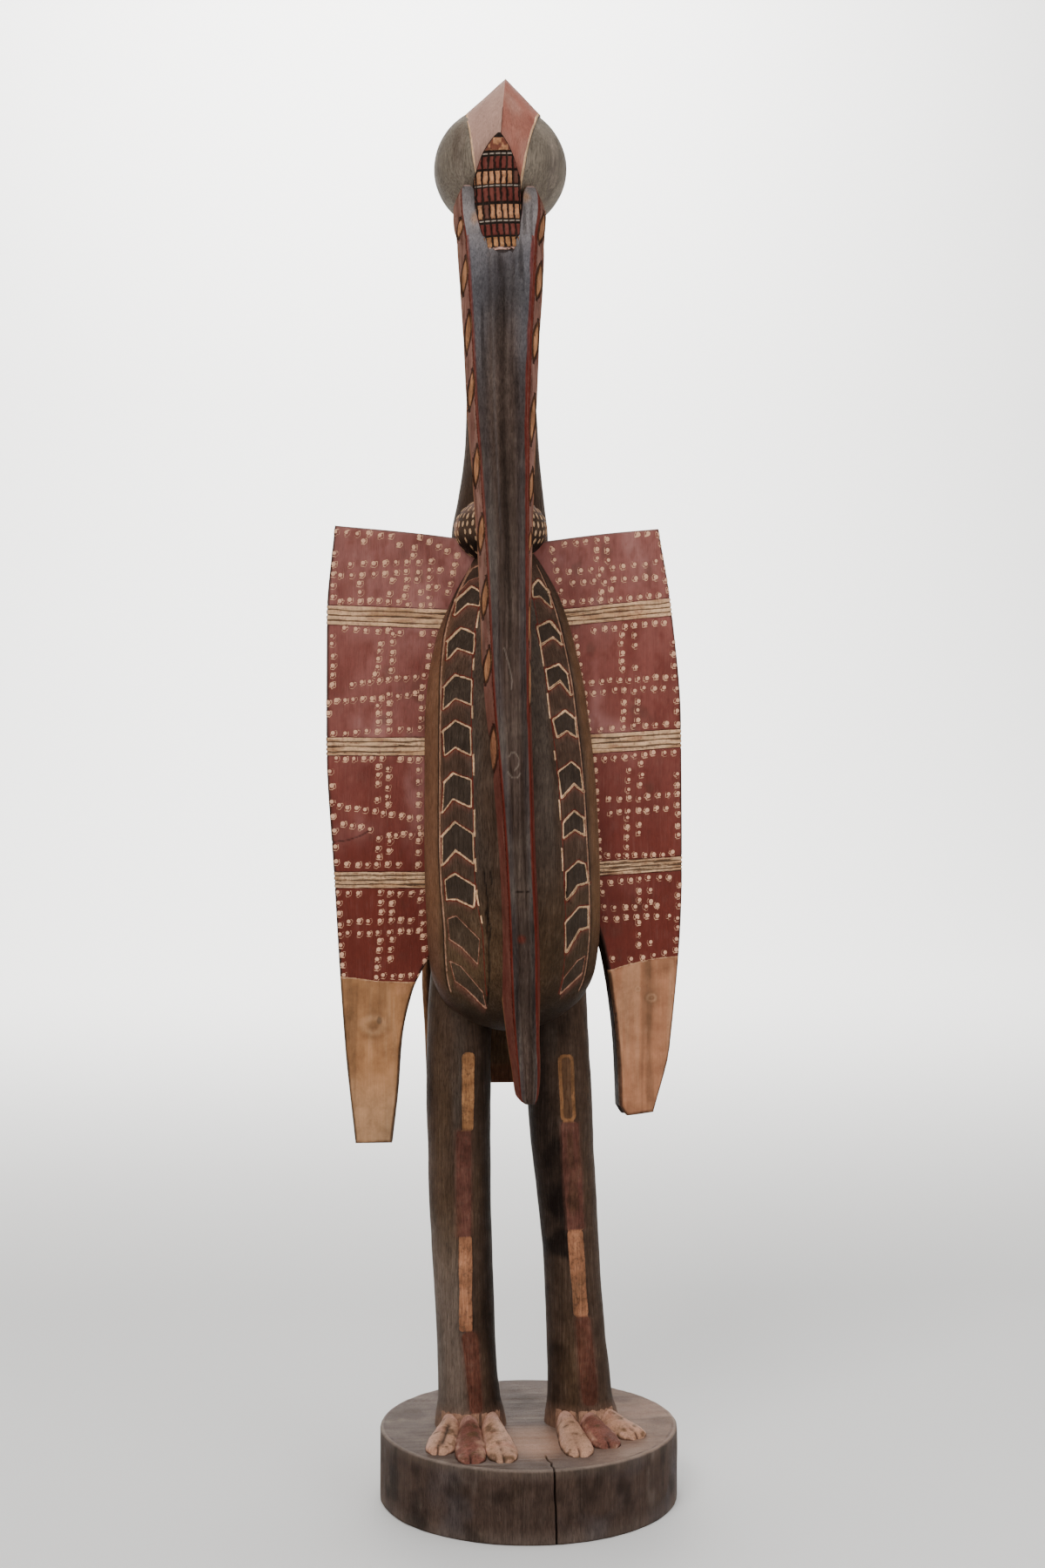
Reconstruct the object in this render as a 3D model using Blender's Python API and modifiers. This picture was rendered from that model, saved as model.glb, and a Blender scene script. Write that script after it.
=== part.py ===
"""A Senufo hornbill figure, carved in one piece from a single log, with the round base it stands on.

The bird faces -Y. The origin is the centre of the base's underside, and +Z is up. The forms are lofted
from short tables of levels, have their own grooves cut, and are united into one carving. Sizes are metres.
"""
import math
from typing import NamedTuple, Sequence

import bmesh
import bpy
import numpy as np
from mathutils import Matrix, Vector

# Round base, with the split that runs in from its front edge
BASE_RADIUS = 0.1575
BASE_HEIGHT = 0.075
BASE_EDGE = 0.003
BASE_SIDES = 48
SPLIT_FOOT_X = 0.0148
SPLIT_TOP_X = 0.0122
SPLIT_INNER_Y = -0.112
SPLIT_HALF_WIDTH = 0.0012

# Legs, tail and three-toed feet
LEG_SIDES = 16
TAIL_EDGE = 0.003
TOE_WIDTH = 0.031
TOE_ANKLE_HEIGHT = 0.020
TOE_TIP_HEIGHT = 0.006
TOE_SINK = 0.004
TOE_SHOULDER = 0.88
TOE_SHOULDER_HEIGHT = 0.55
TOE_RIDGE = 0.35

# Levels of a toe: share of its length, share of its full width, and height between tip (0) and ankle (1)
TOE_LEVELS = ((0.0, 0.80, 1.0), (0.35, 0.95, 0.70), (0.75, 1.0, 0.32), (0.93, 0.85, 0.08), (1.0, 0.50, -0.15))

# All lofted forms: the widest step between levels, and the least angle of an edge that is shaded sharp
LOFT_PITCH = 0.050
SHARP_ANGLE = math.radians(35.0)

# Body, neck, goitre and head
BODY_SIDES = 32
NECK_SIDES = 20
GOITRE_CENTRE = Vector((-0.030, -0.004, 1.023))
GOITRE_RADII = Vector((0.049, 0.050, 0.036))
GOITRE_FACETS = (20, 10)
HEAD_CENTRE = Vector((-0.0305, -0.004, 1.4050))
HEAD_RADII = Vector((0.0702, 0.0720, 0.0662))
HEAD_FACETS = (24, 14)
HEAD_TURN = math.radians(-5.0)

# Roof-shaped crest over the head, by the angle from the face (0) over the top (90) to the nape
CREST_ANGLES = tuple(math.radians(angle) for angle in (-34, -14, 13, 43, 88, 130, 175, 212))
CREST_HALF_WIDTHS = (0.0210, 0.0252, 0.0306, 0.0365, 0.0400, 0.0370, 0.0260, 0.0140)
CREST_RIDGE = (0.0700, 0.0725, 0.0780, 0.0865, 0.0938, 0.0930, 0.0850, 0.0760)
CREST_SHIFT = 0.0030
CREST_LEAN = 0.0030
CREST_STAND = 0.0014
CREST_STEPS = 16

# Casque: the brick-patterned panel on the forehead
CASQUE_ARCH = 10.0
CASQUE_ACROSS = (-1.0, -0.55, 0.0, 0.55, 1.0)
CASQUE_COLUMNS = 7
CASQUE_COLUMN_PITCH = 0.0063
CASQUE_ROW_LINES = (1.4051, 1.3881, 1.3720, 1.3536, 1.3343, 1.3182)
CASQUE_ROW_TILT = 0.06
CASQUE_ROW_SHARES = (-1.25, -0.5, 0.0, 0.5, 1.25)
CASQUE_COLUMN_STEPS = 7
CASQUE_GRID_FOOT = 1.304
CASQUE_GRID_TOP = 1.418
CASQUE_RIM = 0.0012
CASQUE_GROOVE_WIDTH = 0.0020
CASQUE_GROOVE_DEPTH = 0.0014

# Beak: two shallow grooves run down its front face
BEAK_EDGE = 0.0012
BEAK_FLAT = 0.92
BEAK_GROOVE_PLACE = 0.36
BEAK_GROOVE_HALF_WIDTH = 0.08
BEAK_GROOVE_DEPTH = 0.0010

# Wings: planks spread sideways from the body, with grooved bands across them
WING_THICKNESS = 0.020
WING_EDGE = 0.0020
WING_EDGE_ANGLE = math.radians(50.0)
WING_OUTLINE_STEPS = 3
WING_MERGE = 0.00005
WING_FLAT_ANGLE = math.radians(0.5)
WING_ROOT = {-1: Vector((-0.060, -0.002, 0.0)), 1: Vector((0.020, -0.010, 0.0))}
WING_SWEEP = {-1: math.radians(5.0), 1: math.radians(14.0)}
BAND_GROOVES = 4
BAND_START = 0.010
BAND_END = 0.172
BAND_GROOVE_WIDTH = 0.0024
BAND_GROOVE_DEPTH = 0.0014

# Chevron bands on the belly, -1 on the bird's right flank (-X) and 1 on its left (+X)
CHEVRONS = 9
CHEVRON_PITCH = 0.0495
CHEVRON_HEIGHT = 0.0215
CHEVRON_DROP = 0.0095
CHEVRON_ACROSS = (0.045, 0.48, 0.90)
CHEVRON_TOP_Z = {-1: 0.9610, 1: 0.9670}
BAND_OUTER = {-1: 0.850, 1: 0.825}
BAND_INNER = 0.485
BAND_TOP_Z = 0.975
BAND_FOOT_Z = 0.530
BORDER_STEPS = 16
BELLY_GROOVE_WIDTH = 0.0026
BELLY_GROOVE_DEPTH = 0.0018

# All grooves: how far a cutter stands over the surface, and the sharpest mitre at its corners
GROOVE_LIFT = 0.0030
GROOVE_MITRE = 0.4

# Stained wood
WOOD_COLOUR = (0.095, 0.065, 0.045, 1.0)
WOOD_ROUGHNESS = 0.62


class Level(NamedTuple):
    """One level of a form: its height, its centre across, its half width, and its front and back."""

    z: float
    x: float
    half_width: float
    front: float
    back: float


class BeakLevel(NamedTuple):
    """One level of the beak: middle and half width of its front, how far its sides spread, front and back."""

    z: float
    x: float
    half_width: float
    spread_left: float
    spread_right: float
    front: float
    back: float


BODY = (
    Level(0.4960, -0.0200, 0.0200, -0.0350, 0.0250),
    Level(0.5020, -0.0200, 0.0380, -0.0560, 0.0420),
    Level(0.5120, -0.0198, 0.0560, -0.0720, 0.0550),
    Level(0.5300, -0.0190, 0.0750, -0.0870, 0.0660),
    Level(0.5600, -0.0178, 0.0872, -0.0990, 0.0740),
    Level(0.6000, -0.0175, 0.0912, -0.1075, 0.0790),
    Level(0.6600, -0.0187, 0.0924, -0.1130, 0.0810),
    Level(0.7550, -0.0211, 0.0902, -0.1125, 0.0790),
    Level(0.8460, -0.0253, 0.0842, -0.1030, 0.0755),
    Level(0.9060, -0.0263, 0.0728, -0.0890, 0.0725),
    Level(0.9480, -0.0242, 0.0580, -0.0720, 0.0715),
    Level(0.9800, -0.0236, 0.0420, -0.0520, 0.0680),
    Level(1.0050, -0.0240, 0.0280, -0.0300, 0.0580),
    Level(1.0200, -0.0245, 0.0160, -0.0120, 0.0520),
)

NECK = (
    Level(0.8500, -0.0265, 0.0420, -0.0050, 0.0680),
    Level(0.9200, -0.0270, 0.0490, -0.0120, 0.0728),
    Level(0.9850, -0.0285, 0.0525, -0.0190, 0.0750),
    Level(1.0220, -0.0284, 0.0516, -0.0160, 0.0742),
    Level(1.0520, -0.0275, 0.0470, -0.0110, 0.0715),
    Level(1.0900, -0.0265, 0.0420, -0.0070, 0.0690),
    Level(1.1270, -0.0262, 0.0390, -0.0050, 0.0670),
    Level(1.2000, -0.0275, 0.0365, -0.0050, 0.0640),
    Level(1.2900, -0.0300, 0.0365, -0.0070, 0.0600),
    Level(1.3500, -0.0310, 0.0420, -0.0150, 0.0560),
    Level(1.3900, -0.0310, 0.0480, -0.0200, 0.0500),
)

LEGS = {
    "leg_right": (
        Level(0.0650, -0.0615, 0.0385, -0.0370, 0.0400),
        Level(0.0850, -0.0620, 0.0365, -0.0345, 0.0380),
        Level(0.1050, -0.0633, 0.0328, -0.0310, 0.0350),
        Level(0.1510, -0.0657, 0.0313, -0.0290, 0.0345),
        Level(0.2440, -0.0694, 0.0320, -0.0280, 0.0370),
        Level(0.3370, -0.0731, 0.0330, -0.0260, 0.0410),
        Level(0.4290, -0.0740, 0.0340, -0.0240, 0.0450),
        Level(0.5000, -0.0725, 0.0345, -0.0220, 0.0480),
        Level(0.6200, -0.0640, 0.0320, -0.0150, 0.0520),
    ),
    "leg_left": (
        Level(0.0650, 0.0575, 0.0410, -0.0360, 0.0400),
        Level(0.0850, 0.0565, 0.0385, -0.0335, 0.0380),
        Level(0.1050, 0.0547, 0.0345, -0.0310, 0.0350),
        Level(0.1480, 0.0519, 0.0323, -0.0290, 0.0340),
        Level(0.2400, 0.0467, 0.0300, -0.0270, 0.0350),
        Level(0.3350, 0.0397, 0.0322, -0.0260, 0.0400),
        Level(0.3810, 0.0360, 0.0341, -0.0250, 0.0430),
        Level(0.4600, 0.0315, 0.0350, -0.0235, 0.0470),
        Level(0.6200, 0.0240, 0.0360, -0.0150, 0.0520),
    ),
}

TAIL = (
    Level(0.4215, -0.0205, 0.0835, 0.0900, 0.1080),
    Level(0.4800, -0.0205, 0.0860, 0.0860, 0.1060),
    Level(0.5400, -0.0205, 0.0890, 0.0800, 0.1020),
    Level(0.6000, -0.0205, 0.0840, 0.0720, 0.0970),
    Level(0.6800, -0.0205, 0.0640, 0.0600, 0.0900),
    Level(0.7600, -0.0210, 0.0420, 0.0450, 0.0822),
    Level(0.8200, -0.0215, 0.0280, 0.0350, 0.0700),
)

CASQUE = (
    Level(1.2960, -0.0352, 0.0145, -0.0975, -0.0600),
    Level(1.3020, -0.0353, 0.0161, -0.0970, -0.0580),
    Level(1.3209, -0.0365, 0.0197, -0.0925, -0.0500),
    Level(1.3388, -0.0378, 0.0224, -0.0885, -0.0350),
    Level(1.3520, -0.0386, 0.0240, -0.0865, -0.0200),
    Level(1.3747, -0.0392, 0.0242, -0.0850, -0.0200),
    Level(1.3926, -0.0394, 0.0197, -0.0848, -0.0200),
    Level(1.4016, -0.0392, 0.0166, -0.0846, -0.0200),
    Level(1.4100, -0.0388, 0.0125, -0.0844, -0.0200),
    Level(1.4195, -0.0382, 0.0064, -0.0838, -0.0200),
    Level(1.4257, -0.0375, 0.0012, -0.0830, -0.0200),
)

BEAK = (
    BeakLevel(0.4330, -0.0085, 0.0048, 0.0030, 0.0030, -0.1180, -0.1000),
    BeakLevel(0.4400, -0.0100, 0.0080, 0.0040, 0.0040, -0.1215, -0.0960),
    BeakLevel(0.4600, -0.0106, 0.0094, 0.0050, 0.0050, -0.1255, -0.0935),
    BeakLevel(0.5000, -0.0133, 0.0106, 0.0070, 0.0060, -0.1315, -0.0900),
    BeakLevel(0.5400, -0.0153, 0.0116, 0.0085, 0.0080, -0.1370, -0.0880),
    BeakLevel(0.6000, -0.0172, 0.0122, 0.0095, 0.0100, -0.1425, -0.0880),
    BeakLevel(0.6700, -0.0207, 0.0122, 0.0095, 0.0105, -0.1470, -0.0900),
    BeakLevel(0.7600, -0.0253, 0.0140, 0.0090, 0.0100, -0.1500, -0.0900),
    BeakLevel(0.8460, -0.0302, 0.0168, 0.0080, 0.0090, -0.1510, -0.0880),
    BeakLevel(0.9330, -0.0328, 0.0187, 0.0065, 0.0085, -0.1510, -0.0930),
    BeakLevel(0.9850, -0.0341, 0.0201, 0.0063, 0.0090, -0.1500, -0.0980),
    BeakLevel(1.0720, -0.0367, 0.0232, 0.0066, 0.0110, -0.1450, -0.0980),
    BeakLevel(1.1430, -0.0386, 0.0259, 0.0070, 0.0135, -0.1350, -0.0880),
    BeakLevel(1.2150, -0.0379, 0.0291, 0.0070, 0.0140, -0.1200, -0.0720),
    BeakLevel(1.2900, -0.0368, 0.0334, 0.0068, 0.0155, -0.1000, -0.0430),
    BeakLevel(1.3180, -0.0364, 0.0350, 0.0062, 0.0155, -0.0900, -0.0260),
    BeakLevel(1.3450, -0.0362, 0.0310, 0.0065, 0.0100, -0.0640, -0.0080),
)

# The beak's forked top: a prong on each side of the casque
PRONGS = {
    "prong_right": (
        BeakLevel(1.2750, -0.0540, 0.0110, 0.0030, 0.0000, -0.0980, -0.0600),
        BeakLevel(1.3200, -0.0636, 0.0083, 0.0066, 0.0000, -0.0888, -0.0360),
        BeakLevel(1.3470, -0.0680, 0.0072, 0.0062, 0.0000, -0.0805, -0.0200),
        BeakLevel(1.3620, -0.0685, 0.0074, 0.0050, 0.0000, -0.0765, -0.0200),
        BeakLevel(1.3700, -0.0692, 0.0060, 0.0035, 0.0000, -0.0725, -0.0200),
        BeakLevel(1.3742, -0.0698, 0.0030, 0.0015, 0.0000, -0.0680, -0.0200),
    ),
    "prong_left": (
        BeakLevel(1.2750, -0.0160, 0.0100, 0.0000, 0.0070, -0.0980, -0.0600),
        BeakLevel(1.3200, -0.0101, 0.0089, 0.0000, 0.0145, -0.0888, -0.0360),
        BeakLevel(1.3470, -0.0053, 0.0084, 0.0000, 0.0140, -0.0805, -0.0200),
        BeakLevel(1.3620, -0.0045, 0.0080, 0.0000, 0.0120, -0.0765, -0.0200),
        BeakLevel(1.3700, -0.0042, 0.0062, 0.0000, 0.0085, -0.0725, -0.0200),
        BeakLevel(1.3742, -0.0040, 0.0032, 0.0000, 0.0030, -0.0680, -0.0200),
    ),
}

# Wing outlines, outward from the root and up: top edge, outer edge, lower end and inner edge, each of
# them a smooth run
WING_OUTLINE = {
    -1: (
        ((-0.0300, 1.0080), (0.0580, 1.0196), (0.1460, 1.0279)),
        ((0.1460, 1.0279), (0.1546, 0.9300), (0.1550, 0.8000), (0.1472, 0.6610), (0.1352, 0.4770),
         (0.1241, 0.3724)),
        ((0.1241, 0.3724), (0.0854, 0.3730)),
        ((0.0854, 0.3730), (0.0789, 0.4305), (0.0752, 0.4813), (0.0641, 0.5321), (0.0447, 0.5709),
         (0.0, 0.6300)),
        ((0.0, 0.6300), (-0.0300, 0.6600)),
    ),
    1: (
        ((-0.0300, 1.0070), (0.0696, 1.0211), (0.1268, 1.0271)),
        ((0.1268, 1.0271), (0.1420, 0.9400), (0.1532, 0.8180), (0.1543, 0.6580), (0.1400, 0.4700),
         (0.1208, 0.3988)),
        ((0.1208, 0.3988), (0.0916, 0.3968), (0.0826, 0.4076)),
        ((0.0826, 0.4076), (0.0796, 0.4730), (0.0716, 0.5386), (0.0557, 0.6024), (0.0, 0.6700)),
        ((0.0, 0.6700), (-0.0300, 0.6900)),
    ),
}

# Grooved bands: heights of the lower and upper edge at the band's inner and at its outer end
WING_BANDS = {
    -1: (((0.9172, 0.9375), (0.9230, 0.9430)), ((0.7841, 0.8026), (0.7841, 0.8026)), ((0.6438, 0.6604),) * 2),
    1: (((0.9200, 0.9370), (0.9350, 0.9540)), ((0.7830, 0.8035), (0.7920, 0.8110)),
        ((0.6530, 0.6680), (0.6592, 0.6735))),
}

# Toes: where each leaves the ankle, and where its tip lies on the base
TOES = (
    (Vector((-0.083, -0.018, BASE_HEIGHT)), Vector((-0.101, -0.100, BASE_HEIGHT))),
    (Vector((-0.065, -0.026, BASE_HEIGHT)), Vector((-0.069, -0.132, BASE_HEIGHT))),
    (Vector((-0.042, -0.022, BASE_HEIGHT)), Vector((-0.035, -0.131, BASE_HEIGHT))),
    (Vector((0.037, -0.024, BASE_HEIGHT)), Vector((0.043, -0.120, BASE_HEIGHT))),
    (Vector((0.060, -0.022, BASE_HEIGHT)), Vector((0.076, -0.096, BASE_HEIGHT))),
    (Vector((0.078, -0.012, BASE_HEIGHT)), Vector((0.109, -0.067, BASE_HEIGHT))),
)


def smooth_curve(knots: Sequence[float], values: Sequence[float], at: np.ndarray) -> np.ndarray:
    """Values at the given places, on a smooth curve through the knots that never overshoots them."""
    k, v = np.asarray(knots, float), np.asarray(values, float)
    gap = np.diff(k)
    slope = np.diff(v) / gap
    same_way = slope[:-1] * slope[1:] > 0
    total = np.where(same_way, slope[:-1] + slope[1:], 1.0)
    inner = np.where(same_way, 2 * slope[:-1] * slope[1:] / total, 0.0)
    tangent = np.concatenate(([slope[0]], inner, [slope[-1]]))
    i = np.clip(np.searchsorted(k, at) - 1, 0, len(k) - 2)
    t = np.clip((at - k[i]) / gap[i], 0.0, 1.0)
    between = v[i] * (1 - t) ** 2 * (1 + 2 * t) + v[i + 1] * t**2 * (3 - 2 * t)
    return between + gap[i] * t * (1 - t) * (tangent[i] * (1 - t) - tangent[i + 1] * t)


def read_levels(levels: Sequence[NamedTuple], at: np.ndarray) -> dict:
    """Every column of a table of levels, read smoothly at the given heights."""
    heights = [level.z for level in levels]
    names = levels[0]._fields[1:]
    return {name: smooth_curve(heights, [getattr(level, name) for level in levels], at) for name in names}


def loft_heights(levels: Sequence[NamedTuple]) -> np.ndarray:
    """Heights for a loft: the table's own levels, and even steps between the ones that lie far apart."""
    heights = [level.z for level in levels]
    steps = [math.ceil((high - low) / LOFT_PITCH) for low, high in zip(heights, heights[1:])]
    runs = [np.linspace(low, high, count, endpoint=False)
            for low, high, count in zip(heights, heights[1:], steps)]
    return np.concatenate(runs + [[heights[-1]]])


def new_object(name: str, mesh: bpy.types.Mesh, group: bpy.types.Collection) -> bpy.types.Object:
    """Object of the given mesh in the given collection, shaded smooth between its sharp edges."""
    mesh.shade_smooth()
    mesh.set_sharp_from_angle(angle=SHARP_ANGLE)
    item = bpy.data.objects.new(name, mesh)
    group.objects.link(item)
    return item


def loft(name: str, rings: np.ndarray, group: bpy.types.Collection, closed: bool = False) -> bpy.types.Object:
    """Solid through rings of points, anticlockwise seen from the last ring, capped unless it closes."""
    count, sides = rings.shape[:2]
    faces = []
    for level in range(count if closed else count - 1):
        low, high = level * sides, (level + 1) % count * sides
        for i in range(sides):
            j = (i + 1) % sides
            faces.append((low + i, low + j, high + j, high + i))
    if not closed:
        faces.append(tuple(range(sides - 1, -1, -1)))
        faces.append(tuple(range((count - 1) * sides, count * sides)))
    mesh = bpy.data.meshes.new(name)
    mesh.from_pydata(rings.reshape(-1, 3).tolist(), [], faces)
    return new_object(name, mesh, group)


def oval_loft(name: str, levels: Sequence[Level], sides: int,
              group: bpy.types.Collection) -> bpy.types.Object:
    """Loft of ovals through a table of levels, for body, neck and legs."""
    heights = loft_heights(levels)
    at = read_levels(levels, heights)
    turn = 2 * math.pi * (np.arange(sides) + 0.5) / sides
    middle, half_depth = (at["front"] + at["back"]) / 2, (at["back"] - at["front"]) / 2
    rings = np.empty((len(heights), sides, 3))
    rings[:, :, 0] = at["x"][:, None] + at["half_width"][:, None] * np.cos(turn)
    rings[:, :, 1] = middle[:, None] + half_depth[:, None] * np.sin(turn)
    rings[:, :, 2] = heights[:, None]
    return loft(name, rings, group)


def slab_loft(name: str, levels: Sequence[Level], edge: float,
              group: bpy.types.Collection) -> bpy.types.Object:
    """Loft of rectangles with cut corners through a table of levels, for the tail."""
    heights = loft_heights(levels)
    at = read_levels(levels, heights)
    rings = np.empty((len(heights), 8, 3))
    corners = ((-1, -1, 1, 0), (1, -1, -1, 0), (1, -1, 0, 1), (1, 1, 0, -1), (1, 1, -1, 0), (-1, 1, 1, 0),
               (-1, 1, 0, -1), (-1, -1, 0, 1))
    for i, (side, depth, in_x, in_y) in enumerate(corners):
        rings[:, i, 0] = at["x"] + side * at["half_width"] + in_x * edge
        rings[:, i, 1] = (at["front"] if depth < 0 else at["back"]) + in_y * edge
    rings[:, :, 2] = heights[:, None]
    return loft(name, rings, group)


def beak_loft(name: str, levels: Sequence[BeakLevel], groove_depth: float,
              group: bpy.types.Collection) -> bpy.types.Object:
    """Loft of the beak's section: a flat front with two long grooves, and sides that spread backwards."""
    heights = loft_heights(levels)
    at = read_levels(levels, heights)
    place, half = BEAK_GROOVE_PLACE, BEAK_GROOVE_HALF_WIDTH
    front = ((-BEAK_FLAT, 0.0), (-place - half, 0.0), (-place, groove_depth), (-place + half, 0.0),
             (place - half, 0.0), (place, groove_depth), (place + half, 0.0), (BEAK_FLAT, 0.0))
    rings = np.empty((len(heights), len(front) + 4, 3))
    for i, (across, inset) in enumerate(front):
        rings[:, i, 0] = at["x"] + across * at["half_width"]
        rings[:, i, 1] = at["front"] + inset
    side = len(front)
    rings[:, side, 0] = at["x"] + at["half_width"]
    rings[:, side + 1, 0] = at["x"] + at["half_width"] + at["spread_right"]
    rings[:, side + 2, 0] = at["x"] - at["half_width"] - at["spread_left"]
    rings[:, side + 3, 0] = at["x"] - at["half_width"]
    rings[:, (side, side + 3), 1] = (at["front"] + BEAK_EDGE)[:, None]
    rings[:, (side + 1, side + 2), 1] = at["back"][:, None]
    rings[:, :, 2] = heights[:, None]
    return loft(name, rings, group)


def ellipsoid(name: str, centre: Vector, radii: Vector, segments: int, rings: int,
              group: bpy.types.Collection) -> bpy.types.Object:
    """Sphere, stretched along the axes."""
    bm = bmesh.new()
    place = Matrix.LocRotScale(centre, None, radii)
    bmesh.ops.create_uvsphere(bm, u_segments=segments, v_segments=rings, radius=1.0, matrix=place)
    mesh = bpy.data.meshes.new(name)
    bm.to_mesh(mesh)
    bm.free()
    return new_object(name, mesh, group)


def crest(group: bpy.types.Collection) -> bpy.types.Object:
    """Roof-shaped ridge from the forehead over the head to the nape, its edges a little proud of the head."""
    angles = np.linspace(CREST_ANGLES[0], CREST_ANGLES[-1], CREST_STEPS)
    half_widths = smooth_curve(CREST_ANGLES, CREST_HALF_WIDTHS, angles)
    ridges = smooth_curve(CREST_ANGLES, CREST_RIDGE, angles)
    turn = Matrix.Rotation(HEAD_TURN, 3, "Z")
    across = turn @ Vector((1.0, 0.0, 0.0))
    rings = np.empty((CREST_STEPS, 5, 3))
    for k, (angle, half_width, ridge) in enumerate(zip(angles, half_widths, ridges)):
        front, up = math.cos(angle), math.sin(angle)
        outward = turn @ Vector((0.0, -front, up))
        shift = across * CREST_SHIFT * max(up, 0.0)
        head_depth = 1 / math.hypot(front / HEAD_RADII.y, up / HEAD_RADII.z)
        edge = outward * (head_depth * math.sqrt(1 - (half_width / HEAD_RADII.x) ** 2) + CREST_STAND)
        side = across * half_width
        top = outward * ridge + across * CREST_LEAN * max(up, 0.0)
        section = (top, edge + side, (edge + side) / 2, (edge - side) / 2, edge - side)
        rings[k] = [HEAD_CENTRE + shift + point for point in section]
    return loft("crest", rings, group)


def casque_point(z: float, across: float) -> Vector:
    """Point on the casque's arched front, at a height and a distance across from its middle."""
    at = read_levels(CASQUE, np.array([z]))
    return Vector((at["x"][0] + across, at["front"][0] + CASQUE_ARCH * across**2, z))


def casque(group: bpy.types.Collection) -> bpy.types.Object:
    """Almond-shaped panel with an arched front."""
    heights = loft_heights(CASQUE)
    at = read_levels(CASQUE, heights)
    side = len(CASQUE_ACROSS)
    rings = np.empty((len(heights), side + 2, 3))
    for i, share in enumerate(CASQUE_ACROSS):
        across = share * at["half_width"]
        rings[:, i, 0] = at["x"] + across
        rings[:, i, 1] = at["front"] + CASQUE_ARCH * across**2
    rings[:, side, 0] = at["x"] + at["half_width"] / 2
    rings[:, side + 1, 0] = at["x"] - at["half_width"] / 2
    rings[:, side:, 1] = at["back"][:, None]
    rings[:, :, 2] = heights[:, None]
    return loft("casque", rings, group)


def smooth_run(corners: Sequence[tuple], steps: int) -> list:
    """Points along a smooth run through the given corners, without the last one."""
    knots = np.concatenate(([0.0], np.cumsum([math.dist(a, b) for a, b in zip(corners, corners[1:])])))
    at = np.concatenate([np.linspace(a, b, steps, endpoint=False) for a, b in zip(knots, knots[1:])])
    if len(corners) == 2:
        return [corners[0]]
    columns = [smooth_curve(knots, [corner[axis] for corner in corners], at) for axis in (0, 1)]
    return list(zip(*columns))


def wing_frame(side: int) -> Matrix:
    """Place of a wing: X outward along the plank, Y up, Z out of its front face, the origin at its root."""
    sweep = WING_SWEEP[side]
    outward = Vector((side * math.cos(sweep), math.sin(sweep), 0.0))
    forward = Vector((side * math.sin(sweep), -math.cos(sweep), 0.0))
    up = Vector((0.0, 0.0, 1.0))
    frame = Matrix((outward, up, forward)).transposed().to_4x4()
    frame.translation = WING_ROOT[side]
    return frame


def wing(side: int, group: bpy.types.Collection) -> bpy.types.Object:
    """Plank cut to the wing's outline, its front face on the wing's frame and its edges eased."""
    outline = [point for run in WING_OUTLINE[side] for point in smooth_run(run, WING_OUTLINE_STEPS)]
    curve = bpy.data.curves.new("wing_outline", "CURVE")
    curve.dimensions = "2D"
    curve.fill_mode = "BOTH"
    curve.extrude = WING_THICKNESS / 2
    spline = curve.splines.new("POLY")
    spline.points.add(len(outline) - 1)
    for point, (out, up) in zip(spline.points, outline):
        point.co = (out, up, 0.0, 1.0)
    spline.use_cyclic_u = True
    guide = bpy.data.objects.new("wing_outline", curve)
    group.objects.link(guide)
    mesh = bpy.data.meshes.new_from_object(guide.evaluated_get(bpy.context.evaluated_depsgraph_get()))
    bpy.data.objects.remove(guide)
    bm = bmesh.new()
    bm.from_mesh(mesh)
    bmesh.ops.remove_doubles(bm, verts=bm.verts, dist=WING_MERGE)
    bmesh.ops.dissolve_limit(bm, angle_limit=WING_FLAT_ANGLE, verts=bm.verts, edges=bm.edges)
    bmesh.ops.translate(bm, verts=bm.verts, vec=(0.0, 0.0, -WING_THICKNESS / 2))
    bmesh.ops.transform(bm, matrix=wing_frame(side), verts=bm.verts)
    bmesh.ops.recalc_face_normals(bm, faces=bm.faces)
    bm.to_mesh(mesh)
    bm.free()
    item = new_object("wing_left" if side > 0 else "wing_right", mesh, group)
    bevel = item.modifiers.new("eased edges", "BEVEL")
    bevel.width = WING_EDGE
    bevel.segments = 1
    bevel.angle_limit = WING_EDGE_ANGLE
    return item


def base(group: bpy.types.Collection) -> bpy.types.Object:
    """Drum with an eased upper edge."""
    bm = bmesh.new()
    bmesh.ops.create_cone(bm, cap_ends=True, segments=BASE_SIDES, radius1=BASE_RADIUS, radius2=BASE_RADIUS,
                          depth=BASE_HEIGHT, matrix=Matrix.Translation((0.0, 0.0, BASE_HEIGHT / 2)))
    rim = [edge for edge in bm.edges if all(vert.co.z > BASE_HEIGHT / 2 for vert in edge.verts)]
    bmesh.ops.bevel(bm, geom=rim, offset=BASE_EDGE, segments=1, profile=0.5, affect="EDGES")
    mesh = bpy.data.meshes.new("base")
    bm.to_mesh(mesh)
    bm.free()
    return new_object("base", mesh, group)


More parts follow.
